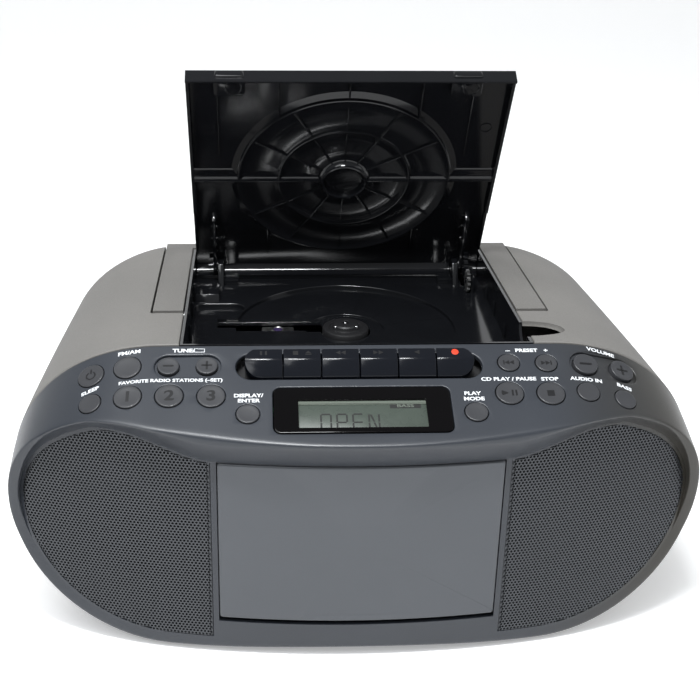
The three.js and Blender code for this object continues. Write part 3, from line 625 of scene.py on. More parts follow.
@dataclass(frozen=True)
class Board:
    """Green circuit board with copper tracks under its lacquer."""

    name: str = "board_lacquer"

    def material(self) -> bpy.types.Material:
        """Builds the material."""
        g = Graph(self.name)
        tracks = g.node("ShaderNodeTexBrick", None, {"Vector": g.place(), "Scale": 160.0, "Mortar Size": 0.03}, out=1)
        colour = g.mix(tracks, rgba((0.02, 0.12, 0.05)), rgba((0.05, 0.22, 0.09)))
        return g.finish(base_color=colour, roughness=(0.35 + g.noise(300.0) * 0.1), normal=g.bump(tracks, 0.00003))


@dataclass(frozen=True)
class Crystal:
    """Face of the liquid crystal display: a grey-green polariser with a faint, uneven haze."""

    name: str = "lcd_face"
    colour: Colour = (0.056, 0.070, 0.058)

    def material(self) -> bpy.types.Material:
        """Builds the material."""
        g = Graph(self.name)
        haze = g.noise(220.0, 2.0)
        fine = g.noise(5000.0, 1.0)
        colour = g.mix((haze * 0.7 + fine * 0.3).clamp(), rgba(self.colour, 0.88), rgba(self.colour, 1.12))
        return g.finish(base_color=colour, roughness=(0.28 + (haze - 0.5) * 0.1).clamp(),
                        normal=g.bump(fine, 0.000004))


class Finishes:
    """Every finish of the player, built once."""

    def __init__(self) -> None:
        """Builds the materials."""
        plain = [
            # The front shell has painted shade, darker and warmer, towards its right end.
            Moulded("front_satin", (0.030, 0.034, 0.042), 0.34, 2600.0, 0.00002, 0.14, right_end_painted_shade=0.85),
            Moulded("rear_grain", (0.165, 0.158, 0.148), 0.62, 1300.0, 0.00009, 0.16),
            Moulded("handle_grain", (0.150, 0.144, 0.135), 0.6, 1300.0, 0.00009, 0.16),
            Moulded("door_satin", (0.090, 0.095, 0.104), 0.36, 3400.0, 0.00001, 0.08, metal=0.55),
            Moulded("grille_paint", (0.066, 0.069, 0.075), 0.30, 3000.0, 0.00001, 0.1, metal=0.6),
            Moulded("button_satin", (0.040, 0.041, 0.045), 0.33, 3200.0, 0.00001, 0.1),
            Moulded("inside_black", (0.008, 0.008, 0.009), 0.5, 1500.0, 0.00005, 0.2),
            Moulded("rubber_grip", (0.012, 0.012, 0.012), 0.85, 900.0, 0.0001, 0.2),
            Moulded("paper_cone", (0.02, 0.02, 0.021), 0.8, 700.0, 0.0001, 0.25),
            Moulded("reel_white", (0.62, 0.61, 0.57), 0.42, 2000.0, 0.00002, 0.05),
            # Painted shade: the lid damper gear is white plastic, given a dark grey here for the shade it sits in.
            Moulded("gear_grey", (0.06, 0.06, 0.06), 0.4, 2000.0, 0.00002, 0.06),
            Gloss("bay_gloss", (0.0060, 0.0064, 0.0076), 0.13),
            Gloss("lid_gloss", (0.0055, 0.0058, 0.0070), 0.11, shine=0.4),
            Gloss("key_gloss", (0.005, 0.006, 0.009), 0.14, 0.00001, 0.3),
            Gloss("window_gloss", (0.0015, 0.0012, 0.0015), 0.06, 0.00001, 0.2),
            Gloss("lens_glass", (0.03, 0.02, 0.06), 0.03, 0.0),
            Metal("chrome_plate", (0.66, 0.66, 0.67), 0.14),
            Metal("steel_sheet", (0.46, 0.46, 0.45), 0.32),
            Metal("screw_black", (0.05, 0.05, 0.052), 0.35),
            Print("ink_white", (0.82, 0.84, 0.86)),
            Print("ink_red", (0.80, 0.06, 0.025), 0.3),
            Print("icon_dark", (0.008, 0.008, 0.009), 0.35),
            Print("segment_black", (0.004, 0.005, 0.004), 0.5),
            # Light grey-green of the display: the reversed BASS print, and a painted light band along the display's
            # upper edge.
            Print("segment_ghost", (0.115, 0.135, 0.11), 0.4),
            Board(),
            Crystal(),
        ]
        self.made = {finish.name: finish.material() for finish in plain}

    def __getitem__(self, name: str) -> bpy.types.Material:
        """The material of that name."""
        return self.made[name]


# ------------------------------------------------------------------ the body's form


@dataclass(frozen=True)
class Form:
    """The casing's surfaces, worked out from a few driving sizes in millimetres."""

    half_width: float = 175.0
    rim_half: float = 172.0
    rear_half: float = 166.0
    front_y: float = -115.0
    rear_y: float = 115.3
    top_z: float = 154.8
    floor_z: float = 2.8
    waist_z: float = 79.0
    flat_half: float = 96.0
    top_corner: float = 2.2
    low_corner: float = 2.0
    rear_round: float = 22.0
    seam_y: float = -58.0
    gap: float = 0.35
    wall: float = 2.5
    slope: float = math.radians(24.73)
    start_drop: float = 0.5
    fall: float = math.tan(math.radians(3.1))
    plan_radius: float = 480.0
    brow_depth: float = 10.0
    brow_height: float = 16.0
    wing: float = 13.0
    wing_run: float = 52.0
    wing_from: float = 69.6

    @property
    def face_y(self) -> float:
        """Depth of the face below the brow, on the centre line."""
        return self.front_y + self.brow_depth

    @property
    def brow_z(self) -> float:
        """Height where the brow meets the face, over the door."""
        return self.panel_top(self.front_y) - self.brow_height

    def casing_top(self, y: float) -> float:
        """Height of the rear casing's top."""
        return self.top_z - (y - self.seam_y) * self.fall

    def panel_top(self, y: float) -> float:
        """Height of the control panel's plane."""
        return self.top_z - self.start_drop - (self.seam_y - y) * math.tan(self.slope)

    def bow(self, x: float) -> float:
        """How far the bowed front lies behind its centre line."""
        return x * x / (2 * self.plan_radius)

    def brow_edge(self, x: float) -> float:
        """Lower edge of the brow, which rises over the speakers."""
        return self.brow_z + self.wing * smooth_step((abs(x) - self.wing_from) / self.wing_run)

    def front_half(self, y: float) -> float:
        """Half width of the front shell at a depth."""
        t = min(1.4, max(0.0, (self.seam_y - y) / (self.seam_y - self.face_y)))
        return self.half_width - (self.half_width - self.rim_half) * t * t

    def chin(self, y: float) -> float:
        """Height of the front shell's underside, which turns up towards the face."""
        return self.floor_z + 3.0 * max(0.0, (self.face_y + 9.0 - y) / 9.0) ** 2

    def rim_y(self, x: float, z: float) -> float:
        """Depth of the rim: level with the face at the chin, ahead of it at the brow."""
        ahead = self.brow_depth * smooth_step((z - 30) / (self.brow_z + 10 - 30))
        return self.face_y - ahead + self.bow(x)

    def section(self, half: float, top: float, low: float, inset: float = 0.0,
                steps: int = 28, flats: int = 34) -> list[Pair]:
        """Outline of a cross section.

        Args:
            half: Half width.
            top: Height of the top.
            low: Height of the underside.
            inset: How far inside the outline is drawn.
            steps: Points on each round corner.
            flats: Points along each flat.

        Returns:
            [x, z] points, counterclockwise seen from the front.
        """
        flat = self.flat_half - inset / 2
        across = half - inset - flat
        up = top - inset - self.waist_z
        down = low + inset - self.waist_z

        def corner(sign: int, height: float, power: float, share: float) -> Pair:
            """One point of a superellipse corner."""
            t = share * math.pi / 2
            return (sign * (flat + across * max(0.0, math.cos(t)) ** (2 / power)),
                    self.waist_z + height * max(0.0, math.sin(t)) ** (2 / power))

        shares = [i / steps for i in range(steps + 1)]
        run = [flat - 2 * flat * i / flats for i in range(1, flats)]
        points = [corner(1, up, self.top_corner, s) for s in shares]
        points += [(x, self.waist_z + up) for x in run]
        points += [corner(-1, up, self.top_corner, s) for s in reversed(shares)]
        points += [corner(-1, down, self.low_corner, s) for s in shares[1:]]
        points += [(-x, self.waist_z + down) for x in run]
        points += [corner(1, down, self.low_corner, s) for s in list(reversed(shares))[:-1]]
        return points

    def front_section(self, y: float, inset: float = 0.0) -> list[Pair]:
        """Outline of the front shell at a depth."""
        return self.section(self.front_half(y), self.panel_top(y), self.chin(y), inset)

    def face_outline(self, inset: float, out: float = 0.0) -> list[Pair]:
        """Outline of the face inside the rim, cut off by the brow."""
        whole = self.section(self.rim_half, self.panel_top(self.face_y), self.floor_z + 2.5, inset)
        return [(x, min(z, self.brow_edge(x) + out)) for x, z in whole]

    def panel_point(self, x: float, d: float) -> Vector:
        """A point on the control panel: x across, d down its slope from the seam."""
        y = self.seam_y - d * math.cos(self.slope)
        over = max(0.0, (abs(x) - self.flat_half) / (self.front_half(y) - self.flat_half))
        share = max(0.0, 1 - over ** self.top_corner) ** (1 / self.top_corner)
        return Vector((x, y, self.waist_z + (self.panel_top(y) - self.waist_z) * share))

    def panel_frame(self, x: float, d: float) -> Matrix:
        """Frame on the panel: X across, Y up the slope, Z out of the surface."""
        step = 0.5
        origin = self.panel_point(x, d)
        down = (self.panel_point(x, d + step) - origin).normalized()
        across = (self.panel_point(x + step, d) - self.panel_point(x - step, d)).normalized()
        normal = down.cross(across).normalized()
        side = down.cross(normal).normalized()
        if side.x < 0:
            side.negate()
        frame = Matrix((side, -down, normal)).transposed().to_4x4()
        frame.translation = origin
        return frame

    def on_panel(self, solid: Solid, x: float, d: float, tilt: float = 0.0) -> Solid:
        """Lays a flat solid on the panel, bending it with the surface.

        Args:
            solid: Made about the origin, X across, Y up the slope, Z outwards.
            x: Where its origin goes across the panel.
            d: Where its origin goes down the slope.
            tilt: Turn in the panel's plane, in degrees.

        Returns:
            The solid on the panel.
        """
        turn = Matrix.Rotation(math.radians(tilt), 4, "Z")

        def rule(p: Vector) -> Vector:
            """Places one corner."""
            flat = turn @ p
            frame = self.panel_frame(x + flat.x, d - flat.y)
            return frame.translation + frame.col[2].to_3d() * flat.z

        return solid.bent(rule)

    def behind_front(self, near: float, far: float, half: float = 190.0, low: float = -20.0,
                     high: float = 180.0) -> Solid:
        """A slab that follows the bowed face between two depths behind it."""
        count = 76
        rings = []
        for i in range(count + 1):
            x = -half + 2 * half * i / count
            y = self.face_y + self.bow(x)
            rings.append([Vector((x, y + near, low)), Vector((x, y + far, low)),
                          Vector((x, y + far, high)), Vector((x, y + near, high))])
        return loft(rings)


FORM = Form()


@dataclass
class Workshop:
    """What every sub-assembly needs: the finishes and the way pieces are made."""

    finishes: Finishes

    @property
    def offset(self) -> float:
        """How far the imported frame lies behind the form's own frame, in metres."""
        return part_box("front_cabinet")[0][1] - FORM.front_y * MM

    def dress(self, solid: Solid | bpy.types.Object, name: str, finish: str, body: str,
              slot: str, replaced: Sequence[str] = (), smooth_angle: float = 32.0) -> bpy.types.Object:
        """Makes a piece of a solid and ties it to the frame.

        Args:
            solid: The shape in millimetres, or a finished object.
            name: The piece's name.
            finish: Its material.
            body: The CAD body that it moves with.
            slot: The record's material slot; not used.
            replaced: CAD nodes that it stands for.
            smooth_angle: Edges flatter than this are shaded smooth.

        Returns:
            The piece.
        """
        piece = solid.object(name, smooth_angle) if isinstance(solid, Solid) else solid
        piece.data.transform(Matrix.Translation((0, self.offset, 0)))
        piece.data.materials.clear()
        piece.data.materials.append(self.finishes[finish])
        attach(piece, body)
        if replaced:
            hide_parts(*replaced)
        log.info("%s rides on %s: %d faces", name, body, len(piece.data.polygons))
        return piece

    def carry(self, finishes: dict[str, str]) -> None:
        """Gives carried-over CAD nodes their finishes, by node name."""
        for node, finish in finishes.items():
            data = bpy.data.objects[node].data
            data.materials.clear()
            data.materials.append(self.finishes[finish])
            log.info("%s keeps its CAD shape", node)


def lettering(text: str, height: float, thick: float = 0.06, stretch: float = 1.2, bold: float = 0.035) -> Solid:
    """Raised letters about the origin, X along the line, in millimetres.

    Args:
        text: The words.
        height: Height of a capital letter.
        thick: How far the ink stands up.
        stretch: Width of the letters against their usual width.
        bold: How much the strokes are fattened.

    Returns:
        The letters, centred.
    """
    curve = bpy.data.curves.new("letters", "FONT")
    curve.body = text
    curve.align_x = "CENTER"
    curve.align_y = "CENTER"
    curve.offset = bold
    curve.extrude = 0.5
    curve.resolution_u = 3
    item = bpy.data.objects.new("letters", curve)
    bpy.context.scene.collection.objects.link(item)
    mesh = evaluated(item)
    bpy.data.objects.remove(item)
    size = height / 0.7
    mesh.transform(Matrix.Diagonal((size * stretch, size, thick, 1)))
    return Solid(mesh)


# ------------------------------------------------------------------ perforations


@dataclass
class Perforation:
    """A sheet with staggered round holes, made by Geometry Nodes inside an outline."""

    pitch: float = 1.82
    hole: float = 0.66
    sides: int = 8
    thick: float = 0.9

    def cell(self) -> bpy.types.Object:
        """One brick of the sheet with its hole, in millimetres."""
        a = self.pitch / 2
        b = self.pitch * math.sqrt(3) / 4
        outer = [(a, -b), (a, b), (0, b), (-a, b), (-a, -b), (0, -b)]
        inner = arc(self.hole, -67.5, 247.5, self.sides - 1)
        mesh = bpy.data.meshes.new("cell")
        points = [(x, 0, z) for x, z in outer + inner]
        fan = [(0, 1, 8, 7), (1, 9, 8), (1, 2, 10, 9), (2, 3, 11, 10), (3, 4, 12, 11),
               (4, 13, 12), (4, 5, 6, 13), (5, 0, 7, 6)]
        mesh.from_pydata(points, [], fan)
        item = bpy.data.objects.new("cell", mesh)
        bpy.context.scene.collection.objects.link(item)
        return item

    def tree(self, material: bpy.types.Material) -> bpy.types.NodeTree:
        """Builds the node group: points in a staggered grid, kept where they lie over the outline."""
        tree = bpy.data.node_groups.new("perforated_sheet", "GeometryNodeTree")
        face = tree.interface
        face.new_socket("Outline", in_out="INPUT", socket_type="NodeSocketObject")
        face.new_socket("Cell", in_out="INPUT", socket_type="NodeSocketObject")
        face.new_socket("Pitch", in_out="INPUT", socket_type="NodeSocketFloat")
        face.new_socket("Width", in_out="INPUT", socket_type="NodeSocketFloat")
        face.new_socket("Height", in_out="INPUT", socket_type="NodeSocketFloat")
        face.new_socket("Centre", in_out="INPUT", socket_type="NodeSocketVector")
        face.new_socket("Thickness", in_out="INPUT", socket_type="NodeSocketFloat")
        face.new_socket("Geometry", in_out="OUTPUT", socket_type="NodeSocketGeometry")

        def add(kind: str, settings: dict | None = None, inputs: dict | None = None) -> bpy.types.Node:
            """Adds a node, its settings and its inputs."""
            node = tree.nodes.new(kind)
            for key, value in (settings or {}).items():
                setattr(node, key, value)
            for key, value in (inputs or {}).items():
                if isinstance(value, bpy.types.NodeSocket):
                    tree.links.new(value, node.inputs[key])
                else:
                    node.inputs[key].default_value = value
            return node

        def maths(operation: str, a: object, b: object = 0.0) -> bpy.types.NodeSocket:
            """One step of arithmetic."""
            return add("ShaderNodeMath", {"operation": operation}, {0: a, 1: b}).outputs[0]

        given = add("NodeGroupInput").outputs
        rows = maths("FLOOR", maths("DIVIDE", given["Height"], maths("MULTIPLY", given["Pitch"], 0.8660254)))
        columns = maths("FLOOR", maths("DIVIDE", given["Width"], given["Pitch"]))
        grid = add("GeometryNodeMeshGrid", None, {
            "Size X": maths("MULTIPLY", maths("SUBTRACT", columns, 1.0), given["Pitch"]),
            "Size Y": maths("MULTIPLY", maths("SUBTRACT", rows, 1.0),
                            maths("MULTIPLY", given["Pitch"], 0.8660254)),
            "Vertices X": columns, "Vertices Y": rows}).outputs["Mesh"]
        row = maths("MODULO", add("GeometryNodeInputIndex").outputs[0], rows)
        odd = maths("MODULO", row, 2.0)
        place = add("ShaderNodeSeparateXYZ", None, {0: add("GeometryNodeInputPosition").outputs[0]}).outputs
        where = add("ShaderNodeCombineXYZ", None, {
            "X": maths("ADD", place["X"], maths("MULTIPLY", odd, maths("MULTIPLY", given["Pitch"], 0.5))),
            "Z": place["Y"]}).outputs[0]
        moved = add("ShaderNodeVectorMath", {"operation": "ADD"}, {0: where, 1: given["Centre"]}).outputs[0]
        laid = add("GeometryNodeSetPosition", None, {"Geometry": grid, "Position": moved}).outputs[0]
        outline = add("GeometryNodeObjectInfo", None, {"Object": given["Outline"]}).outputs["Geometry"]
        hit = add("GeometryNodeRaycast", None, {
            "Target Geometry": outline, "Ray Direction": (0.0, 1.0, 0.0), "Ray Length": 100.0})
        missed = add("FunctionNodeBooleanMath", {"operation": "NOT"}, {0: hit.outputs["Is Hit"]}).outputs[0]
        kept = add("GeometryNodeDeleteGeometry", {"domain": "POINT"}, {"Geometry": laid, "Selection": missed})
        dots = add("GeometryNodeMeshToPoints", None, {"Mesh": kept.outputs[0]}).outputs[0]
        cell = add("GeometryNodeObjectInfo", None, {"Object": given["Cell"]}).outputs["Geometry"]
        copies = add("GeometryNodeInstanceOnPoints", None, {"Points": dots, "Instance": cell}).outputs[0]
        real = add("GeometryNodeRealizeInstances", None, {"Geometry": copies}).outputs[0]
        merged = add("GeometryNodeMergeByDistance", None, {"Geometry": real, "Distance": 0.02}).outputs[0]
        walls = add("GeometryNodeExtrudeMesh", {"mode": "FACES"}, {
            "Mesh": merged, "Offset": (0.0, 1.0, 0.0), "Offset Scale": given["Thickness"], "Individual": False})
        both = add("GeometryNodeJoinGeometry")
        tree.links.new(walls.outputs[0], both.inputs[0])
        flipped = add("GeometryNodeFlipFaces", None, {"Mesh": merged}).outputs[0]
        tree.links.new(flipped, both.inputs[0])
        closed = add("GeometryNodeMergeByDistance", None, {"Geometry": both.outputs[0], "Distance": 0.02})
        dressed = add("GeometryNodeSetMaterial", None, {"Geometry": closed.outputs[0], "Material": material})
        end = add("NodeGroupOutput")
        tree.links.new(dressed.outputs[0], end.inputs[0])
        return tree

    def sheet(self, outline: Solid, centre: Pair, size: Pair, material: bpy.types.Material) -> Solid:
        """Fills an outline with the perforated sheet.

        Args:
            outline: A flat slab in XZ that the holes stay inside, ahead of the sheet by a little.
            centre: Middle of the outline, as [x, z].
            size: Width and height to cover.
            material: The sheet's finish.

        Returns:
            The flat sheet, at Y 0.
        """
        target = outline.object("outline")
        target.data.transform(Matrix.Scale(1 / MM, 4))
        cell = self.cell()
        host = bpy.data.objects.new("host", bpy.data.meshes.new("host"))
        bpy.context.scene.collection.objects.link(host)
        step = host.modifiers.new("perforate", "NODES")
        step.node_group = self.tree(material)
        values = {"Outline": target, "Cell": cell, "Pitch": self.pitch, "Width": size[0],
                  "Height": size[1], "Centre": (centre[0], 0.0, centre[1]), "Thickness": self.thick}
        for item in step.node_group.interface.items_tree:
            if item.name in values:
                step[item.identifier] = values[item.name]
        mesh = evaluated(host)
        for item in (host, cell, target):
            bpy.data.objects.remove(item)
        work = bmesh.new()
        work.from_mesh(mesh)
        bmesh.ops.recalc_face_normals(work, faces=work.faces)
        work.to_mesh(mesh)
        work.free()
        return Solid(mesh)


# ------------------------------------------------------------------ front cabinet


@dataclass(frozen=True)
class Control:
    """A round button: its place on the panel, its radius and the sign on its cap."""

    name: str
    x: float
    d: float
    radius: float
    sign: str = ""


CONTROLS = (
    Control("power", -130.8, 12.8, 6.7, "power"),
    Control("sleep", -129.9, 30.7, 5.5),
    Control("band", -113, 12.8, 6.7),
    Control("tune_down", -93.1, 13.3, 5.3, "minus"),
    Control("tune_up", -74.4, 13.1, 5.3, "plus"),
    Control("memory_1", -111.8, 31.3, 6.7, "1"),
    Control("memory_2", -92.0, 31.8, 6.7, "2"),
    Control("memory_3", -72.0, 32.1, 6.7, "3"),
    Control("display_enter", -54.5, 43, 5.5),
    Control("play_mode", 54.1, 43, 5.5),
    Control("skip_back", 73.6, 12.8, 5.3, "back"),
    Control("skip_forward", 92.2, 13.2, 5.3, "ahead"),
    Control("cd_play_pause", 71.5, 31.8, 6.7, "play_pause"),
    Control("cd_stop", 91.5, 32.2, 6.7, "stop"),
    Control("volume_down", 111.9, 12.9, 6.2, "minus"),
    Control("volume_up", 130.7, 12, 6.2, "plus"),
    Control("audio_in", 110.1, 30.8, 5.5),
    Control("bass", 128.5, 31.5, 5.5),
)

KEY_COUNT = 6
KEY_PITCH = 18.73
KEY_FROM = 6.6
KEY_DEPTH = 14.7
WINDOW_HALF = 42.7
WINDOW_FROM = 27.1
WINDOW_TO = 54.9
DOOR_HALF = 69.6
DOOR_LOW = 22.2
DOOR_TOP = 111.6


def bend_corner(before: Vector, corner: Vector, after: Vector, reach: float, steps: int = 5) -> Ring:
    """Points of a soft turn at a corner.

    Args:
        before: The point ahead of the corner.
        corner: The corner.
        after: The point past it.
        reach: How far from the corner the turn begins.
        steps: Points on the turn.

    Returns:
        The points, from the first side to the second.
    """
    one, two = before - corner, after - corner
    a = corner + one.normalized() * min(reach, one.length * 0.48)
    b = corner + two.normalized() * min(reach, two.length * 0.48)
    shares = [i / (steps - 1) for i in range(steps)]
    return [a * (1 - t) ** 2 + corner * (2 * t * (1 - t)) + b * t * t for t in shares]


@dataclass
class FrontCabinet:
    """The front shell: control panel, brow, rim and the face round the door and grilles."""

    shop: Workshop
    form: Form = FORM
    rim_inset: float = 3.0
    band: float = 1.5
    lip: float = 0.45
    slot_depth: float = 1.5
    slot_margin: float = 1.5

    def _tunnel(self) -> Callable[[int, float], Vector]:
        """Gives the shell's outer surface by outline number and depth."""
        f = self.form
        first = f.seam_y
        table = [f.front_section(first - k) for k in range(64)]

        def at(i: int, y: float) -> Vector:
            """A point on the outer surface."""
            k = min(62.999, max(0.0, first - y))
            low, share = int(k), k - int(k)
            a, b = table[low][i], table[low + 1][i]
            return Vector((a[0] + (b[0] - a[0]) * share, y, a[1] + (b[1] - a[1]) * share))

        return at

    def shell(self) -> Solid:
        """The shell from the seam over the rim and brow to the face."""
        f = self.form
        outer = self._tunnel()
        face = f.face_outline(self.rim_inset)
        inner_seam = f.front_section(f.seam_y, f.wall)
        seam_in = f.front_section(f.seam_y, 0.5)
        steep = f.brow_height / f.brow_depth
        count = len(face)
        start = f.seam_y - f.gap / 2
        lines = []
        for i, (x, z) in enumerate(face):
            root = Vector((x, f.face_y + f.bow(x), z))
            rise = steep - 0.68 * smooth_step((abs(x) - f.wing_from) / f.wing_run)
            lift = rise * smooth_step((z - f.waist_z) / 40) if z > f.waist_z else 0.0
            ahead_of, after = outer((i - 1) % count, root.y), outer((i + 1) % count, root.y)
            along = after - ahead_of
            out = Vector((along.z, 0, -along.x)).normalized()

            def brow(a: float) -> Vector:
                """The brow's underside, a distance ahead of the face."""
                return Vector((x * (1 + a / 13 * 0.8 / f.rim_half), root.y - a, z + a * lift))

            def room(a: float) -> float:
                """What is left before the crest: none at the rim or where the sides meet."""
                skin = outer(i, root.y - a)
                rim = (root.y - a) - f.rim_y(skin.x, skin.z)
                return min((skin - brow(a)).dot(out) - self.band, rim)

            low, high = 0.0, 12.0
            for _ in range(26):
                middle = (low + high) / 2
                low, high = (middle, high) if room(middle) > 0 else (low, middle)
            crest, under = outer(i, root.y - low), brow(low)
            inside = Vector((x, root.y + f.wall, z))
            back = f.front_section(root.y + f.wall, f.wall)[i]
            line = [Vector((inner_seam[i][0], start, inner_seam[i][1])),
                    Vector((seam_in[i][0], start, seam_in[i][1])), outer(i, start - 0.5)]
            line += [outer(i, start + (crest.y - start) * k / 12) for k in range(1, 12)]
            line += bend_corner(line[-1], crest, under, 2.4)
            line += bend_corner(crest, under, root, 1.0, 4)
            line += bend_corner(under, root, inside, 0.3, 3) if low > 0.4 else [under, root, root + (inside - root) * 0.1]
            line.append(inside)
            for k in range(4):
                share = k / 4
                y = (root.y + f.wall) * (1 - share) + start * share
                here = f.front_section(y, f.wall)[i] if k else back
                line.append(Vector((here[0], y, here[1])))
            lines.append(line)
        return loft([list(ring) for ring in zip(*lines)], closed=True)

    def opening(self, inset: float) -> Solid:
        """The right-hand loudspeaker opening, swept through the face."""
        f = self.form
        outline = f.face_outline(4.6 + inset, -inset - 0.8)
        whole = prism(outline, Axis.Y, f.front_y - 10, f.seam_y - 5)
        return whole & box(DOOR_HALF + 3.2 + inset, f.half_width + 10, -200, 0, -50, 300)

    def face_plate(self) -> Solid:
        """The bowed plate round the door and the two grilles."""
        f = self.form
        plate = f.behind_front(0.0, f.wall) & prism(f.face_outline(self.rim_inset - 1.2, 1.0), Axis.Y, -130, -60)
        plate = plate - self.opening(0) - self.opening(0).mirrored()
        side = DOOR_HALF + f.gap
        plate = plate - box(-side, side, -130, f.face_y + 12, DOOR_LOW - 2.4, DOOR_TOP + f.gap)
        return plate

    def slot(self, first: Control, second: Control) -> Solid:
        """The shallow hollow with round ends that a pair of buttons shares."""
        x, d = (first.x + second.x) / 2, (first.d + second.d) / 2
        run = math.hypot(second.x - first.x, second.d - first.d) / 2
        radius = first.radius + self.slot_margin

        def outline(grow: float) -> list[Pair]:
            """The rounded slot, grown by a distance."""
            r = radius + grow
            points = arc(r, -90, 90, 20, (run, 0)) + arc(r, 90, 270, 20, (-run, 0))
            return points

        tilt = -math.degrees(math.atan2(second.d - first.d, second.x - first.x))
        return self.form.on_panel(flared(outline, -self.slot_depth, 0.7, 3.0), x, d, tilt)

    def key_slot(self) -> Solid:
        """The long hollow with round ends that the deck keys stand in."""
        half = KEY_COUNT * KEY_PITCH / 2 + 4.2
        deep = KEY_DEPTH / 2 + 0.7
        cutter = flared(lambda g: round_rect(half + g, deep + g, deep + g - 0.01, 10), -12, 0.7)
        return cutter.moved(self.form.panel_frame(0, KEY_FROM + KEY_DEPTH / 2))

    def window_slot(self) -> Solid:
        """The opening that the display window sits in."""
        deep = (WINDOW_TO - WINDOW_FROM) / 2
        cutter = flared(lambda g: round_rect(WINDOW_HALF + g, deep + g, 4 + g, 8), -8, 0.5)
        return cutter.moved(self.form.panel_frame(0, (WINDOW_FROM + WINDOW_TO) / 2))

    def build(self) -> None:
        f = self.form
        cabinet = self.shell() + self.face_plate()
        named = {c.name: c for c in CONTROLS}
        for a, b in (("tune_down", "tune_up"), ("volume_down", "volume_up")):
            cabinet = cabinet - self.slot(named[a], named[b])
        for c in CONTROLS:
            hole = flared(circle(c.radius + f.gap), -14, self.lip)
            cabinet = cabinet - hole.moved(f.panel_frame(c.x, c.d))
        cabinet = cabinet - self.key_slot() - self.window_slot()
        self.shop.dress(cabinet, "front_cabinet_skin", "front_satin", "casing", "front_shell", ["front_cabinet"], 28)
        self.grilles()
        deck = prism(round_rect(KEY_COUNT * KEY_PITCH / 2 + 8, KEY_DEPTH / 2 + 4, 3), Axis.Z, -9.5, -8.2)
        deck = deck.moved(f.panel_frame(0, KEY_FROM + KEY_DEPTH / 2))
        for k in range(KEY_COUNT):
            slot = box(-2.2, 2.2, -4, 4, -14, -6).shifted(x=(k - (KEY_COUNT - 1) / 2) * KEY_PITCH)
            deck = deck - slot.moved(f.panel_frame(0, KEY_FROM + KEY_DEPTH / 2))
        self.shop.dress(deck, "key_well_floor", "inside_black", "casing", "bay_black")

    def grilles(self) -> None:
        """The two perforated grilles, bowed with the face."""
        f = self.form
        opening = self.opening(0.35)
        low = Vector((1e9,) * 3)
        high = -low
        for corner in opening.mesh.vertices:
            low = Vector(map(min, low, corner.co))
            high = Vector(map(max, high, corner.co))
        centre = ((low.x + high.x) / 2, (low.z + high.z) / 2)
        flat = opening & box(0, 200, -100, -98, -50, 300)
        flat = flat.shifted(y=110)
        sheet = Perforation().sheet(flat, centre, (high.x - low.x, high.z - low.z), self.shop.finishes["grille_paint"])
        bowed = sheet.bent(lambda p: Vector((p.x, p.y + f.face_y + f.bow(p.x) + 0.9, p.z)))
        frame = opening - self.opening(1.3)
        frame = frame & f.behind_front(0.7, 2.0)
        right = gather([bowed, frame])
        for name, solid in (("right", right), ("left", right.mirrored())):
            self.shop.dress(solid, f"grille_sheet_{name}", "grille_paint", "casing", "grille_metal",
                            [f"speaker_grille_{name}"], 50)
            side = 1 if name == "right" else -1
            cloth = (self.opening(1.0) & f.behind_front(2.6, 3.0)).bent(lambda p, s=side: Vector((p.x * s, p.y, p.z)))
            if side < 0:
                cloth.mesh.flip_normals()
            self.shop.dress(cloth, f"grille_cloth_{name}", "paper_cone", "casing", "speaker_black")


# ------------------------------------------------------------------ buttons, keys and signs


def sign_solid(sign: str, size: float) -> Solid | None:
    """The engraved sign of a button, flat about the origin.

    Args:
        sign: Its name.
        size: Half of its height, in millimetres.

    Returns:
        A thin solid, or None where the cap is plain.
    """
    low, high = 0.0, 0.05
    stroke = size * 0.16

    def block(x: float, y: float, w: float, h: float) -> Solid:
        """A flat rectangle about a point."""
        return prism([(x - w, y - h), (x + w, y - h), (x + w, y + h), (x - w, y + h)], Axis.Z, low, high)

    def arrow(x: float, w: float, h: float) -> Solid:
        """A flat triangle that points along X."""
        return prism([(x, -h), (x + w, 0), (x, h)], Axis.Z, low, high)

    if not sign:
        return None
    if sign.isdigit():
        return lettering(sign, size * 1.5, 0.05, 1.15, 0.03)
    if sign == "minus":
        return block(0, 0, size * 0.8, stroke)
    if sign == "plus":
        return gather([block(0, 0, size * 0.8, stroke), block(0, 0, stroke, size * 0.8)])
    if sign == "stop":
        return block(0, 0, size * 0.42, size * 0.42)
    if sign == "play_pause":
        parts = [arrow(-size, size * 0.9, size * 0.45), block(size * 0.35, 0, stroke * 0.7, size * 0.42)]
        return gather(parts + [block(size * 0.78, 0, stroke * 0.7, size * 0.42)])
    if sign in ("ahead", "back"):
        parts = [arrow(-size * 0.8, size * 0.7, size * 0.42), arrow(-size * 0.1, size * 0.7, size * 0.42),
                 block(size * 0.72, 0, stroke * 0.6, size * 0.42)]
        whole = gather(parts)
        return whole if sign == "ahead" else whole.mirrored()
    ring = [Vector((x, y, low)) for x, y in arc(size * 0.62, 120, 420, 24)]
    inner = [Vector((x, y, low)) for x, y in arc(size * 0.45, 420, 120, 24)]
    outline = [(p.x, p.y) for p in ring + inner]
    return gather([prism(outline, Axis.Z, low, high), block(0, size * 0.62, stroke * 0.6, size * 0.34)])


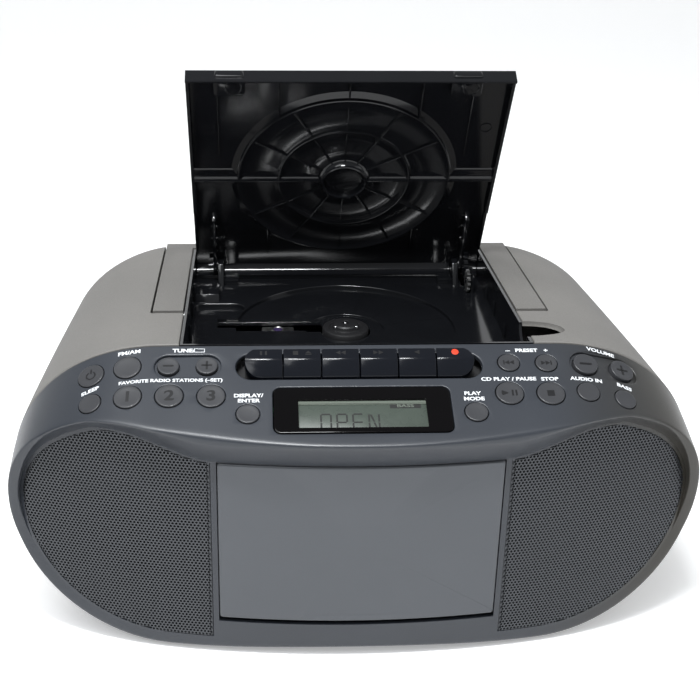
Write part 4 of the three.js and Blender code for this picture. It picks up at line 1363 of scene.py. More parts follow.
@dataclass
class Buttons:
    """The eighteen round buttons, their signs and the printing round them."""

    shop: Workshop
    form: Form = FORM
    proud: float = 0.5
    edge: float = 0.5
    dish: float = 0.2

    def cap(self, c: Control) -> Solid:
        """A cap with a soft edge and a slightly hollow top, on its stem and flange."""
        r = c.radius
        low = -self.form.wall - self.form.gap
        profile = [(0, low - 5.4), (2, low - 5.4), (2, low - 1.2), (r + 0.9, low - 1.2), (r + 0.9, low), (r, low),
                   (r, self.proud - self.edge)]
        profile += [(r - self.edge + self.edge * math.cos(t), self.proud - self.edge + self.edge * math.sin(t))
                    for t in (math.radians(15 * k) for k in range(1, 7))]
        profile += [(r * 0.7, self.proud - self.dish * 0.5), (r * 0.35, self.proud - self.dish), (0, self.proud - self.dish)]
        return turned(profile, 48)

    def build(self) -> None:
        """Builds every button."""
        for c in CONTROLS:
            frame = self.form.panel_frame(c.x, c.d)
            node = f"button_{c.name}"
            self.shop.dress(self.cap(c).moved(frame), f"{node}_cap", "button_satin", node, "button_dark", [node], 40)
            sign = sign_solid(c.sign, c.radius * 0.62)
            if sign:
                lifted = sign.moved(frame @ Matrix.Translation((0, 0, self.proud - self.dish + 0.02)))
                self.shop.dress(lifted, f"{node}_sign", "icon_dark", node, "button_dark")
        self.printing()

    def printing(self) -> None:
        """The white words beside the controls."""
        small, tiny = 2.2, 2.05
        words = [
            ("FM/AM", -112.6, 3.3, 1.5, small), ("TUNE/", -85.9, 3.6, 0, small),
            ("FAVORITE RADIO STATIONS (–SET)", -91.6, 22.3, 0, 1.85), ("SLEEP", -130.4, 22.6, 9, tiny),
            ("DISPLAY/", -54.2, 32.0, 0, tiny), ("ENTER", -54.1, 35.1, 0, tiny),
            ("PLAY", 53.4, 31.8, 0, tiny), ("MODE", 53.9, 35.1, 0, tiny),
            ("–", 74.2, 5.0, 0, small), ("PRESET", 83.5, 5.0, 0, tiny), ("+", 93.2, 5.1, 0, small),
            ("CD PLAY / PAUSE", 72.2, 23.1, 0, tiny), ("STOP", 92.3, 23.3, 0, tiny),
            ("VOLUME", 121.4, 3.0, -5, 2.1), ("AUDIO IN", 110.5, 22.9, -1, tiny), ("BASS", 129.6, 23.2, -9, tiny),
        ]
        parts = [self.form.on_panel(lettering(text, height), x, d, tilt) for text, x, d, tilt, height in words]
        folder = gather([
            prism([(-2.6, -1.2), (2.6, -1.2), (2.6, -0.9), (-2.6, -0.9)], Axis.Z, -0.03, 0.03),
            prism([(-0.6, 0.9), (2.6, 0.9), (2.6, 1.2), (-0.6, 1.2)], Axis.Z, -0.03, 0.03),
            prism([(-2.6, 1.35), (-0.9, 1.35), (-0.5, 1.0), (-0.7, 0.8), (-1.1, 1.1), (-2.6, 1.1)], Axis.Z, -0.03, 0.03),
            prism([(-2.6, -1.2), (-2.3, -1.2), (-2.3, 1.3), (-2.6, 1.3)], Axis.Z, -0.03, 0.03),
            prism([(2.3, -1.2), (2.6, -1.2), (2.6, 1.2), (2.3, 1.2)], Axis.Z, -0.03, 0.03)])
        parts.append(self.form.on_panel(folder, -78.2, 3.5))
        self.shop.dress(gather(parts), "panel_printing", "ink_white", "casing", "front_shell")


@dataclass
class Keys:
    """The six deck keys, with raised signs on their upper faces."""

    shop: Workshop
    form: Form = FORM
    proud: float = 5.0
    names: tuple[str, ...] = ("pause", "stop_eject", "rewind", "forward", "play", "record")

    def profile(self) -> list[Pair]:
        """Side view of a key as [up the slope, out of the panel]."""
        d = KEY_DEPTH / 2
        return [(-d, -7), (d, -7), (d, self.proud - 0.8), (d - 0.8, self.proud), (1.0, self.proud),
                (0.2, self.proud - 0.15), (-0.6, self.proud - 0.7), (-d + 0.4, 1.0), (-d, 0.5)]

    def cap(self, k: int) -> Solid:
        """One key; the end keys have a round outer end."""
        x = (k - (KEY_COUNT - 1) / 2) * KEY_PITCH
        half = KEY_PITCH / 2 - 0.28
        whole = prism(self.profile(), Axis.X, x - half, x + half)
        if k in (0, KEY_COUNT - 1):
            side = -1 if k == 0 else 1
            d = KEY_DEPTH / 2
            centre = x + side * (half - d)
            plan = arc(d, -90, 90, 24, (centre, 0)) + [(x - side * (half + 4), d), (x - side * (half + 4), -d)]
            if side < 0:
                plan = [(2 * centre - a, b) for a, b in arc(d, -90, 90, 24, (centre, 0))]
                plan += [(x + half + 4, d), (x + half + 4, -d)]
            whole = whole & prism(plan, Axis.Z, -10, 10)
        blade = box(x - 1.2, x + 1.2, -3, 3, -21, -6.5)
        return gather([whole.rounded(0.45, 30, 3), blade])

    def signs(self) -> dict[str, Solid]:
        """The raised signs, flat about each key's own middle."""
        def block(x0: float, x1: float, y0: float, y1: float) -> Solid:
            """A flat rectangle."""
            return box(x0, x1, y0, y1, 0, 0.12)

        def arrow(x: float, w: float, h: float) -> Solid:
            """A flat triangle."""
            return prism([(x, -h), (x + w, 0), (x, h)], Axis.Z, 0, 0.12)

        ahead = gather([arrow(-2.6, 2.4, 1.3), arrow(0.0, 2.4, 1.3)])
        return {
            "pause": gather([block(-1.7, -0.7, -1.3, 1.3), block(0.7, 1.7, -1.3, 1.3)]),
            "stop_eject": gather([block(-4.4, -1.9, -1.2, 1.2), block(1.6, 4.6, -1.2, -0.6),
                                  prism([(1.6, -0.2), (4.6, -0.2), (3.1, 1.3)], Axis.Z, 0, 0.12)]),
            "rewind": ahead.mirrored(),
            "forward": ahead,
            "play": arrow(-1.3, 2.7, 1.4).mirrored(),
            "record": turned([(0, 0), (1.75, 0), (1.75, 0.1), (1.5, 0.16), (0, 0.16)], 32),
        }

    def build(self) -> None:
        frame = self.form.panel_frame(0, KEY_FROM + KEY_DEPTH / 2)
        signs = self.signs()
        for k, name in enumerate(self.names):
            node = f"key_{name}"
            self.shop.dress(self.cap(k).moved(frame), f"{node}_cap", "key_gloss", node, "key_black", [node], 40)
            x = (k - (KEY_COUNT - 1) / 2) * KEY_PITCH
            place = frame @ Matrix.Translation((x, 4.2, self.proud - 0.04))
            ink = "ink_red" if name == "record" else "icon_dark"
            self.shop.dress(signs[name].moved(place), f"{node}_sign", ink, node, "key_black")


@dataclass
class Display:
    """The black window and the liquid crystal display under it."""

    shop: Workshop
    form: Form = FORM
    lcd_half: float = 30.6
    lcd_low: float = -10.3
    lcd_high: float = 6.0
    sunk: float = 1.3

    def glyph(self, strokes: str, x: float, y: float, w: float, h: float) -> list[Solid]:
        """One character made of segments.

        Args:
            strokes: Letters a to g for the seven segments, m and n for a steep stroke.
            x: Left edge.
            y: Lower edge.
            w: Width.
            h: Height.

        Returns:
            The lit segments.
        """
        t, g = 0.42, 0.28
        half = h / 2
        made = []
        for s in strokes:
            across = {"a": h, "g": half, "d": 0.0}
            if s in across:
                level = y + across[s]
                made.append(box(x + g, x + w - g, level - t, level + t, 0, 0.04))
            elif s in "bcef":
                side = x + w if s in "bc" else x
                low = y + (half if s in "bf" else 0)
                made.append(box(side - t, side + t, low + g, low + half - g, 0, 0.04))
            else:
                low = y + (half if s == "m" else 0)
                a, b = (x + 0.9, x + w / 2) if s == "m" else (x + w / 2, x + w - 0.9)
                made.append(prism([(a - t, low + half - g), (b - t, low + g), (b + t, low + g),
                                   (a + t, low + half - g)], Axis.Z, 0, 0.04))
        return made

    def build(self) -> None:
        mid = (WINDOW_FROM + WINDOW_TO) / 2
        deep = (WINDOW_TO - WINDOW_FROM) / 2 - self.form.gap
        frame = self.form.panel_frame(0, mid)
        half = WINDOW_HALF - self.form.gap
        pane = loft([[Vector((x, y, z)) for x, y in round_rect(half - i, deep - i, 3.6 - i, 8)]
                     for i, z in ((0, -2.2), (0, -0.3), (0.12, 0.02), (0.4, 0.18), (0.8, 0.2))])
        middle = (self.lcd_low + self.lcd_high) / 2
        tall = (self.lcd_high - self.lcd_low) / 2
        hole = flared(lambda g: round_rect(self.lcd_half + g, tall + g, 0.5 + g, 4, (0, middle)), -5, 0.25)
        self.shop.dress((pane - hole).moved(frame), "window_pane", "window_gloss", "casing", "window_black",
                        ["display_window"], 30)
        block = box(-33, 33, self.lcd_low - 0.8, self.lcd_high + 0.8, -6.2, -self.sunk)
        self.shop.dress(block.rounded(0.2).moved(frame), "lcd_glass", "lcd_face", "casing", "lcd", ["lcd_module"])
        segments: list[Solid] = []
        for k, strokes in enumerate(("abcdef", "abefg", "adefg", "bcefmn")):
            segments += self.glyph(strokes, -20.0 + 7.6 * k, self.lcd_low - 1.0, 4.7, 9.6)
        badge = prism(round_rect(7.4, 1.35, 0.2, 3, (20.6, 3.0)), Axis.Z, 0, 0.04)
        word = lettering("BASS", 1.7, 0.04, 1.6, 0.02).shifted(20.6, 3.0, 0.06)
        upper = frame @ Matrix.Translation((0, 0, -self.sunk + 0.03))
        # Painted light: a lighter band and a thin line along the LCD's upper edge, where the window's edge meets it.
        painted_band = box(-self.lcd_half, self.lcd_half, self.lcd_high - 1.5, self.lcd_high, 0, 0.3)
        edge = box(-self.lcd_half, self.lcd_half, self.lcd_high - 2.1, self.lcd_high - 1.7, 0, 0.25)
        self.shop.dress(gather(segments + [badge]).moved(upper), "lcd_segments", "segment_black", "casing", "lcd")
        self.shop.dress(word.moved(upper), "lcd_badge_word", "segment_ghost", "casing", "lcd")
        self.shop.dress(gather([painted_band, edge]).moved(upper), "lcd_light_guide", "segment_ghost", "casing", "lcd")


# ------------------------------------------------------------------ rear cabinet and handle


@dataclass(frozen=True)
class Bay:
    """Places round the disc bay, the lid's hinge and the handle."""

    half: float = 86.65
    floor: float = 127.0
    front: float = -56.2
    rear: float = 101.9
    skin: float = 1.4
    hub_y: float = 21.3
    pivot_y: float = 92.3
    pivot_z: float = 138.66
    barrel: float = 9.5
    open_angle: float = 57.9
    arm_inner: float = 89.0
    arm_outer: float = 104.9
    arm_front: float = -9.2
    arm_depth: float = 13.0
    bar_front: float = 104.0
    bar_rear: float = 115.0
    bar_height: float = 21.0
    swing: float = 11.1
    clear: float = 1.2
    dish_y: float = -39.0
    dish: tuple[float, float, float] = (20.0, 10.5, 9.0)

    @property
    def tray_half(self) -> float:
        """Half width of the tray's outside."""
        return self.half + self.skin


BAY = Bay()


def finger_dish(form: Form, bay: Bay) -> Solid:
    """The half-egg hollow beside the bay's right front corner."""
    profile = [(math.cos(t), math.sin(t)) for t in (math.radians(-90 + 180 * k / 28) for k in range(29))]
    profile[0], profile[-1] = (0, -1), (0, 1)
    egg = turned(profile, 64).moved(Matrix.Diagonal((*bay.dish, 1)))
    return egg.shifted(bay.tray_half, bay.dish_y, form.casing_top(bay.dish_y))


@dataclass
class RearCabinet:
    """The rear shell with its bay, handle channel, inlet pocket and battery opening."""

    shop: Workshop
    form: Form = FORM
    bay: Bay = BAY
    edge: float = 1.6
    lip: float = 0.7
    inlet_x: float = -118.0
    inlet_z: float = 34.0
    battery: tuple[float, float, float] = (78.0, 22.0, 62.0)
    antenna: tuple[float, float] = (128.0, 101.0)

    def tunnel(self, inset: float) -> Solid:
        """The shell's outer form, or its inside where inset is the wall."""
        f = self.form
        start = f.seam_y + f.gap / 2
        straight = f.rear_y - f.rear_round
        rings = []
        begin = start - (1 if inset else 0)
        if not inset:
            rings.append([Vector((x, start, z)) for x, z in f.section(f.half_width, f.casing_top(start), f.floor_z, 0.5)])
            begin = start + 0.5
        for k in range(15):
            y = begin + (straight - begin) * k / 14
            t = min(1.0, max(0.0, (y - start) / (straight - start)))
            half = f.half_width - (f.half_width - f.rear_half) * t ** 1.3
            rings.append([Vector((x, y, z)) for x, z in f.section(half, f.casing_top(y), f.floor_z, inset)])
        run = f.rear_round - (inset or self.edge)
        for k in range(1, 15):
            angle = math.radians(90 * k / 14)
            shrink = f.rear_round * (1 - math.cos(angle))
            share = shrink / f.rear_round
            y = straight + run * math.sin(angle)
            half, top, low = f.rear_half - shrink, f.casing_top(y) - 2 * share, f.floor_z + 4.4 * share
            rings.append([Vector((x, y, z)) for x, z in f.section(half, top, low, inset)])
        if not inset:
            for k in range(1, 6):
                angle = math.radians(18 * k)
                grow = self.edge * (1 - math.cos(angle))
                y = straight + run + self.edge * math.sin(angle)
                outline = f.section(half, top, low, grow)
                rings.append([Vector((x, y, z)) for x, z in outline])
        return loft(rings)

    def top_cutter(self, outline: Callable[[float], list[Pair]], low: Callable[[float], float]) -> Solid:
        """A cutter through the top whose sides flare where they meet it.

        Args:
            outline: Plan outline, grown by a distance.
            low: Height of the floor at a depth.

        Returns:
            The cutter.
        """
        f = self.form
        rings = [[Vector((x, y, low(y))) for x, y in outline(0)]]
        for k in range(5):
            t = math.radians(22.5 * k)
            grow = self.lip * (1 - math.cos(t))
            drop = self.lip * (1 - math.sin(t))
            rings.append([Vector((x, y, f.casing_top(y) - drop)) for x, y in outline(grow)])
        rings.append([Vector((x, y, f.casing_top(y) + 9)) for x, y in outline(self.lip + 0.02)])
        return loft(rings)

    def channel(self, grow: float) -> Solid:
        """The channel that the folded handle lies in."""
        f, b = self.form, self.bay
        outer = b.arm_outer + b.clear + grow
        front = b.arm_front + 8 - b.swing - grow
        deep = f.casing_top(b.bar_front) - b.bar_height - b.clear - grow

        def arm(more: float) -> list[Pair]:
            """Plan of the right-hand arm's channel."""
            y0, y1 = front - more, b.bar_front + 1
            x0, x1 = b.tray_half + f.gap - 4, outer + more
            return [(x0, y0), (x1 - 2, y0), (x1 - 0.6, y0 + 0.6), (x1, y0 + 2), (x1, y1), (x0, y1)]

        right = self.top_cutter(arm, lambda y: f.casing_top(y) - b.arm_depth / 2 - b.swing - grow)
        rear = box(-outer, outer, b.bar_front - f.gap, f.rear_y + 12, deep, 175)
        return right + right.mirrored() + rear

    def build(self) -> None:
        f, b = self.form, self.bay
        outer = self.tunnel(0)
        shell = outer - self.tunnel(f.wall)
        shell = shell + (self.channel(f.wall) & outer)
        shell = shell - self.channel(0)
        half = b.tray_half + f.gap
        rear = b.rear + b.skin + f.gap
        shell = shell - self.top_cutter(lambda g: [(half + g, f.seam_y - 8), (half + g, rear), (-half - g, rear),
                                                   (-half - g, f.seam_y - 8)], lambda y: b.floor - 14)
        shell = shell - finger_dish(f, b)
        pocket = bar(Axis.Y, 15.5, f.rear_y - 11.5, f.rear_y - 1, self.inlet_x, self.inlet_z)
        dish = flared(circle(13, 56), -9, 0.8)
        turn = Matrix.Translation((self.inlet_x, f.rear_y, self.inlet_z)) @ Matrix.Rotation(-math.pi / 2, 4, "X")
        shell = shell + (pocket & outer)
        shell = shell - dish.moved(turn)
        shell = shell - box(self.inlet_x - 7.5, self.inlet_x + 7.5, f.rear_y - 14, f.rear_y, 30, 38)
        wide, low, tall = self.battery
        door = flared(lambda g: round_rect(wide + f.gap + g, tall / 2 + f.gap + g, 2 + g, 5), -8, 0.6)
        turn = Matrix.Translation((0, f.rear_y, low + tall / 2)) @ Matrix.Rotation(-math.pi / 2, 4, "X")
        shell = shell - door.moved(turn)
        x, z = self.antenna
        y = f.rear_y + 3.4
        backing = box(x - 15, x + 14, y - 8.1, f.rear_y - 0.5, z - 8, z + 8)
        shell = shell + (backing & outer)
        shell = shell - box(x - 13, x + 12, y - 5.6, f.rear_y + 10, z - 6, z + 6)
        shell = shell + self.cell()
        self.shop.dress(shell, "rear_cabinet_skin", "rear_grain", "casing", "rear_shell", ["rear_cabinet"], 28)
        self.screws()
        self.trim()

    def cell(self) -> Solid:
        """The battery compartment with its end springs' ribs."""
        f = self.form
        wide, low, tall = self.battery
        outer = box(-wide - 4, wide + 4, f.rear_y - 58.5, f.rear_y - f.wall + 0.5, low - 4, low + tall + 4)
        inner = box(-wide + 1.5, wide - 1.5, f.rear_y - 56, f.rear_y + 5, low + 1.5, low + tall - 1.5)
        rebate = box(-wide - f.gap, wide + f.gap, f.rear_y - 4, f.rear_y + 5, low - f.gap, low + tall + f.gap)
        return outer - inner - rebate

    def screws(self) -> None:
        """Cross-head screws of the back and the base, placed by Geometry Nodes."""
        f = self.form
        wide = f.rear_half - 34
        back = [(x, f.rear_y - 0.25, z) for x, z in ((-wide, 118), (-wide, 62), (wide, 76), (104, 12), (0, 98), (-92, 12))]
        self.shop.dress(ScrewHeads().placed(back, "Y", self.shop.finishes["screw_black"]), "back_screws",
                        "screw_black", "casing", "steel")
        base = [(sx * 88, y, f.floor_z + 0.1) for sx in (-1, 1) for y in (-40, 40)]
        self.shop.dress(ScrewHeads().placed(base, "Z", self.shop.finishes["screw_black"]), "base_screws",
                        "screw_black", "casing", "steel")

    def trim(self) -> None:
        """Cooling slots on the back, drawn as a raised louvre."""
        f = self.form
        slats = []
        for k in range(9):
            z = 92 + 4.2 * k
            if z > 119:
                break
            slats.append(box(-150, -112, f.rear_y - 1.2, f.rear_y + 0.5, z, z + 1.7).shifted(x=22).rounded(0.5))
        self.shop.dress(gather(slats), "back_louvre", "rear_grain", "casing", "rear_shell")


@dataclass
class ScrewHeads:
    """Pan heads with a cross recess, put on points by Geometry Nodes."""

    radius: float = 3.1
    height: float = 1.1

    def head(self) -> bpy.types.Object:
        """One head about the origin, +Z out."""
        profile = [(0, -0.8), (self.radius, -0.8), (self.radius, 0.15), (self.radius * 0.86, self.height * 0.7),
                   (self.radius * 0.5, self.height), (0, self.height)]
        head = turned(profile, 24)
        arm = self.radius * 0.55
        cross = box(-arm, arm, -0.38, 0.38, 0.2, 3) + box(-0.38, 0.38, -arm, arm, 0.2, 3)
        item = (head - cross).object("head")
        item.data.transform(Matrix.Scale(1 / MM, 4))
        return item

    def placed(self, points: Sequence[tuple[float, float, float]], out: str,
               material: bpy.types.Material) -> Solid:
        """Puts a head on every point.

        Args:
            points: The places, in millimetres.
            out: "Y" for heads on the back, "Z" for heads under the base.
            material: Their finish.

        Returns:
            All heads as one solid.
        """
        tree = bpy.data.node_groups.new("screw_heads", "GeometryNodeTree")
        tree.interface.new_socket("Points", in_out="INPUT", socket_type="NodeSocketGeometry")
        tree.interface.new_socket("Head", in_out="INPUT", socket_type="NodeSocketObject")
        tree.interface.new_socket("Turn", in_out="INPUT", socket_type="NodeSocketVector")
        tree.interface.new_socket("Geometry", in_out="OUTPUT", socket_type="NodeSocketGeometry")
        given = tree.nodes.new("NodeGroupInput").outputs
        info = tree.nodes.new("GeometryNodeObjectInfo")
        dots = tree.nodes.new("GeometryNodeMeshToPoints")
        copies = tree.nodes.new("GeometryNodeInstanceOnPoints")
        real = tree.nodes.new("GeometryNodeRealizeInstances")
        dressed = tree.nodes.new("GeometryNodeSetMaterial")
        dressed.inputs["Material"].default_value = material
        end = tree.nodes.new("NodeGroupOutput")
        for source, target in (
            (given["Head"], info.inputs["Object"]), (given["Points"], dots.inputs["Mesh"]),
            (dots.outputs[0], copies.inputs["Points"]), (info.outputs["Geometry"], copies.inputs["Instance"]),
            (given["Turn"], copies.inputs["Rotation"]), (copies.outputs[0], real.inputs[0]),
            (real.outputs[0], dressed.inputs["Geometry"]), (dressed.outputs[0], end.inputs[0]),
        ):
            tree.links.new(source, target)
        head = self.head()
        mesh = bpy.data.meshes.new("points")
        mesh.from_pydata(points, [], [])
        host = bpy.data.objects.new("host", mesh)
        bpy.context.scene.collection.objects.link(host)
        step = host.modifiers.new("screws", "NODES")
        step.node_group = tree
        turn = (-math.pi / 2, 0.0, 0.0) if out == "Y" else (math.pi, 0.0, 0.0)
        for item in tree.interface.items_tree:
            if item.name == "Head":
                step[item.identifier] = head
            if item.name == "Turn":
                step[item.identifier] = turn
        made = evaluated(host)
        for item in (host, head):
            bpy.data.objects.remove(item)
        return Solid(made)


@dataclass
class Handle:
    """The carrying handle: two arms and a bar across the back."""

    shop: Workshop
    form: Form = FORM
    bay: Bay = BAY

    def build(self) -> None:
        f, b = self.form, self.bay
        top = f.casing_top
        arm = prism([(b.arm_front, top(b.arm_front)), (b.arm_front, top(b.arm_front) - b.arm_depth),
                     (b.bar_rear - 2, top(b.bar_rear) - b.arm_depth), (b.bar_rear - 2, top(b.bar_rear) - 3),
                     (b.bar_front, top(b.bar_front))], Axis.X, b.arm_inner, b.arm_outer)
        high = top(b.bar_front)
        low = high - b.bar_height
        bar_profile = [(b.bar_front, high), (b.bar_front, low + 3), (b.bar_front + 3, low), (b.bar_rear - 3, low),
                       (b.bar_rear, low + 4), (b.bar_rear, high - 4), (b.bar_rear - 1.2, high - 1.6),
                       (b.bar_rear - 3, high - 0.3)]
        across = prism(bar_profile, Axis.X, -b.arm_outer, b.arm_outer)
        pivot = (b.arm_front + 8, top(b.arm_front + 8) - b.arm_depth / 2)
        bore = bar(Axis.X, 3.35, b.arm_inner - 2, b.arm_inner + 8, *pivot)
        whole = arm + arm.mirrored() + across
        whole = whole.rounded(0.9, 30, 3)
        whole = whole - bore - bore.mirrored()
        grip = [box(-52 + 6 * k, -48.6 + 6 * k, b.bar_rear - 0.4, b.bar_rear + 0.35, low + 6, high - 6).rounded(0.3)
                for k in range(18)]
        self.shop.dress(whole, "handle_skin", "handle_grain", "handle", "rear_shell", ["handle"], 30)
        self.shop.dress(gather(grip), "handle_grip_ribs", "handle_grain", "handle", "rear_shell")
        pins = bar(Axis.X, 2.9, b.arm_inner - 1.5, b.arm_inner + 5, *pivot)
        self.shop.dress(pins.both_sides(), "handle_pins", "steel_sheet", "casing", "steel")


# ------------------------------------------------------------------ disc bay and lid


@dataclass
class DiscBay:
    """The tray, its well, slot and hinge towers, with the spindle and the pickup."""

    shop: Workshop
    form: Form = FORM
    bay: Bay = BAY
    well: float = 61.5
    deck: float = 2.2
    slot_from: float = -72.0
    slot_to: float = -13.0

    def tray(self) -> Solid:
        """The tray's shell."""
        f, b = self.form, self.bay
        top = lambda y: f.casing_top(y) - 0.5
        y0, y1 = b.front - b.skin, b.rear + b.skin
        shell = prism([(y0, b.floor - 2), (y1, b.floor - 2), (y1, top(y1)), (y0, top(y0))], Axis.X,
                      -b.tray_half, b.tray_half)
        inner = prism([(b.front, b.floor + self.deck), (b.rear, b.floor + self.deck), (b.rear, 190), (b.front, 190)],
                      Axis.X, -b.half, b.half)
        shell = shell - inner
        well = flared(circle(self.well, 128), -self.deck, 0.8)
        inner_well = flared(circle(22, 72), -0.9, 0.5, 4)
        at_deck = Matrix.Translation((0, b.hub_y, b.floor + self.deck))
        shell = shell - well.moved(at_deck)
        shell = shell - inner_well.moved(Matrix.Translation((0, b.hub_y, b.floor)))
        shell = shell - bar(Axis.Z, 14, b.floor - 9, b.floor + 9, 0, b.hub_y, 64)
        middle = ((self.slot_from + self.slot_to) / 2, b.hub_y + 5)
        slot = flared(lambda g: round_rect((self.slot_to - self.slot_from) / 2 + g, 6 + g, 1.2 + g, 4, middle), -6, 0.4, 3)
        shell = shell - slot.moved(Matrix.Translation((0, 0, b.floor)))
        scoop = flared(lambda g: round_rect(15 + g, 7.5 + g, 7 + g, 10, (-72, b.hub_y + 5)), -self.deck - 0.3, 0.8, 4)
        shell = shell - scoop.moved(at_deck)
        sector_x = b.half - 13.2 + 2.2
        shell = shell - box(sector_x - 0.6, sector_x + 2.8, b.pivot_y - 11, b.pivot_y + 3, b.floor - 9, b.floor + 4)
        return shell - finger_dish(f, b)

    def towers(self) -> Solid:
        """The hinge lugs with their pins, ribs and the damper's bracket."""
        b = self.bay
        a, c = b.half - 17, b.half - 17 + 3.4
        lug = prism([(b.pivot_y - 12, b.floor), (b.pivot_y + 9, b.floor), (b.pivot_y + 4.4, b.pivot_z + 2.6),
                     (b.pivot_y, b.pivot_z + 4), (b.pivot_y - 4.4, b.pivot_z + 2.6)], Axis.X, a, c).rounded(0.4)
        pin = bar(Axis.X, 2, a, b.half - 8, b.pivot_y, b.pivot_z)
        foot = box(a - 9, a, b.pivot_y - 8, b.pivot_y + 6, b.floor, b.floor + 5.5).rounded(0.5)
        step = prism([(b.pivot_y - 34, b.floor), (b.pivot_y - 14, b.floor), (b.pivot_y - 15, b.floor + 6.5),
                      (b.pivot_y - 31, b.floor + 6.5)], Axis.X, b.half - 15, b.half - 1).rounded(0.8)
        gear_y, gear_z = 72.99, 135.95
        gear_x = b.half - 11
        gear_pin = bar(Axis.X, 1.5, gear_x, gear_x + 5, gear_y, gear_z, 20)
        bracket = prism([(gear_y - 4, b.floor), (gear_y + 4, b.floor), (gear_y + 3, gear_z + 3),
                         (gear_y - 3, gear_z + 3)], Axis.X, gear_x + 3, gear_x + 5).rounded(0.3)
        left = gather([lug, pin, foot]).mirrored()
        return gather([lug, pin, foot, left, step.mirrored().shifted(y=-2), gear_pin, bracket])

    def floor_marks(self) -> Solid:
        """Moulded ribs and a ridged plate on the deck."""
        b = self.bay
        high = b.floor + self.deck
        marks = [box(b.half - 1.4, b.half, y, y + 1.6, high, high + 9).rounded(0.3) for y in (-30, 2, 34, 58)]
        marks += [m.mirrored() for m in list(marks)]
        marks += [box(-66, 66, b.rear - 1.2, b.rear, high + 3 * k, high + 3 * k + 0.7).rounded(0.2) for k in (1, 3)]
        marks += [box(26, 50, -16 - 2.2 * k, -15.2 - 2.2 * k, b.floor, b.floor + 0.35) for k in range(5)]
        for angle in range(0, 360, 30):
            rib = box(24, 58, -0.25, 0.25, b.floor - 0.1, b.floor + 0.3)
            turn = Matrix.Translation((0, b.hub_y, 0)) @ Matrix.Rotation(math.radians(angle + 15), 4, "Z")
            if not 150 < angle + 15 < 200:
                marks.append(rib.moved(turn))
        return gather(marks)

    def spindle(self) -> tuple[Solid, Solid]:
        """The turntable, and the three sprung balls that hold a disc."""
        b = self.bay
        z = b.floor + 3
        table = turned([(0, z - 12), (3, z - 12), (3, z - 6), (12.4, z - 6), (13, z - 5.4), (13, z - 2.2),
                        (12.6, z - 1.5), (12, z - 1.2), (9.2, z - 1.25), (8.6, z - 1.7), (7.6, z - 1.7), (7.3, z - 1.2),
                        (7.1, z + 0.4), (6.4, z + 1.2), (4.4, z + 1.6), (2.2, z + 1.5), (1.9, z + 0.9), (0, z + 0.9)], 72)
        balls = []
        for k in range(3):
            t = math.radians(120 * k + 90)
            profile = [(1.15 * math.sin(math.radians(15 * i)), -1.15 * math.cos(math.radians(15 * i))) for i in range(13)]
            profile[0], profile[-1] = (0, -1.15), (0, 1.15)
            balls.append(turned(profile, 20).shifted(6.6 * math.cos(t), 6.6 * math.sin(t), z - 0.2))
        boss = turned([(0, z + 0.8), (1.5, z + 0.8), (1.5, z + 1.5), (1.1, z + 1.8), (0, z + 1.8)], 24)
        return table.shifted(y=b.hub_y), gather(balls + [boss]).shifted(y=b.hub_y)

    def pickup(self) -> tuple[Solid, Solid]:
        """The laser sled, and its lens."""
        b = self.bay
        z = b.floor - 11.5
        x = -38.0
        sled = box(x - 9, x + 9, b.hub_y - 0.4, b.hub_y + 10.6, z + 0.6, z + 8.8).rounded(0.5)
        cover = box(x - 6.5, x + 6.5, b.hub_y - 0.1, b.hub_y + 8.6, z + 8.6, z + 9.6).rounded(0.4)
        ring = band(3.7, 2.7, z + 9.3, z + 10.6, 0.2, 32).shifted(x, b.hub_y + 3.6)
        body = gather([sled, cover, ring]) - bar(Axis.X, 1.55, x - 12, x + 12, b.hub_y + 8.4, z + 3.4, 16)
        lens = turned([(0, z + 9), (2.7, z + 9), (2.7, z + 10), (1.8, z + 10.6), (0.8, z + 10.9), (0, z + 11)], 32)
        return body, lens.shifted(x, b.hub_y + 3.6)

    def build(self) -> None:
        self.shop.dress(self.tray(), "bay_tray_skin", "bay_gloss", "casing", "bay_black", ["cd_bay_tray"], 30)
        self.shop.dress(self.towers(), "hinge_towers", "bay_gloss", "casing", "bay_black")
        self.shop.dress(self.floor_marks(), "bay_ribs", "bay_gloss", "casing", "bay_black")
        table, balls = self.spindle()
        self.shop.dress(table, "turntable", "inside_black", "spindle", "dark_plastic", ["cd_spindle"], 30)
        self.shop.dress(balls, "turntable_balls", "chrome_plate", "spindle", "steel")
        sled, lens = self.pickup()
        self.shop.dress(sled, "laser_sled", "steel_sheet", "pickup", "steel", ["optical_pickup"], 30)
        self.shop.dress(lens, "laser_lens", "lens_glass", "pickup", "dark_plastic")
        rail = bar(Axis.X, 1.25, self.slot_from + 4, -16, self.bay.hub_y + 8.4, self.bay.floor - 8.1, 20)
        self.shop.dress(rail, "sled_rail", "chrome_plate", "casing", "steel")
        screw = bar(Axis.X, 0.9, self.slot_from + 6, -50, self.bay.hub_y + 1.2, self.bay.floor - 4.0, 16)
        self.shop.dress(screw, "feed_screw", "chrome_plate", "casing", "steel")


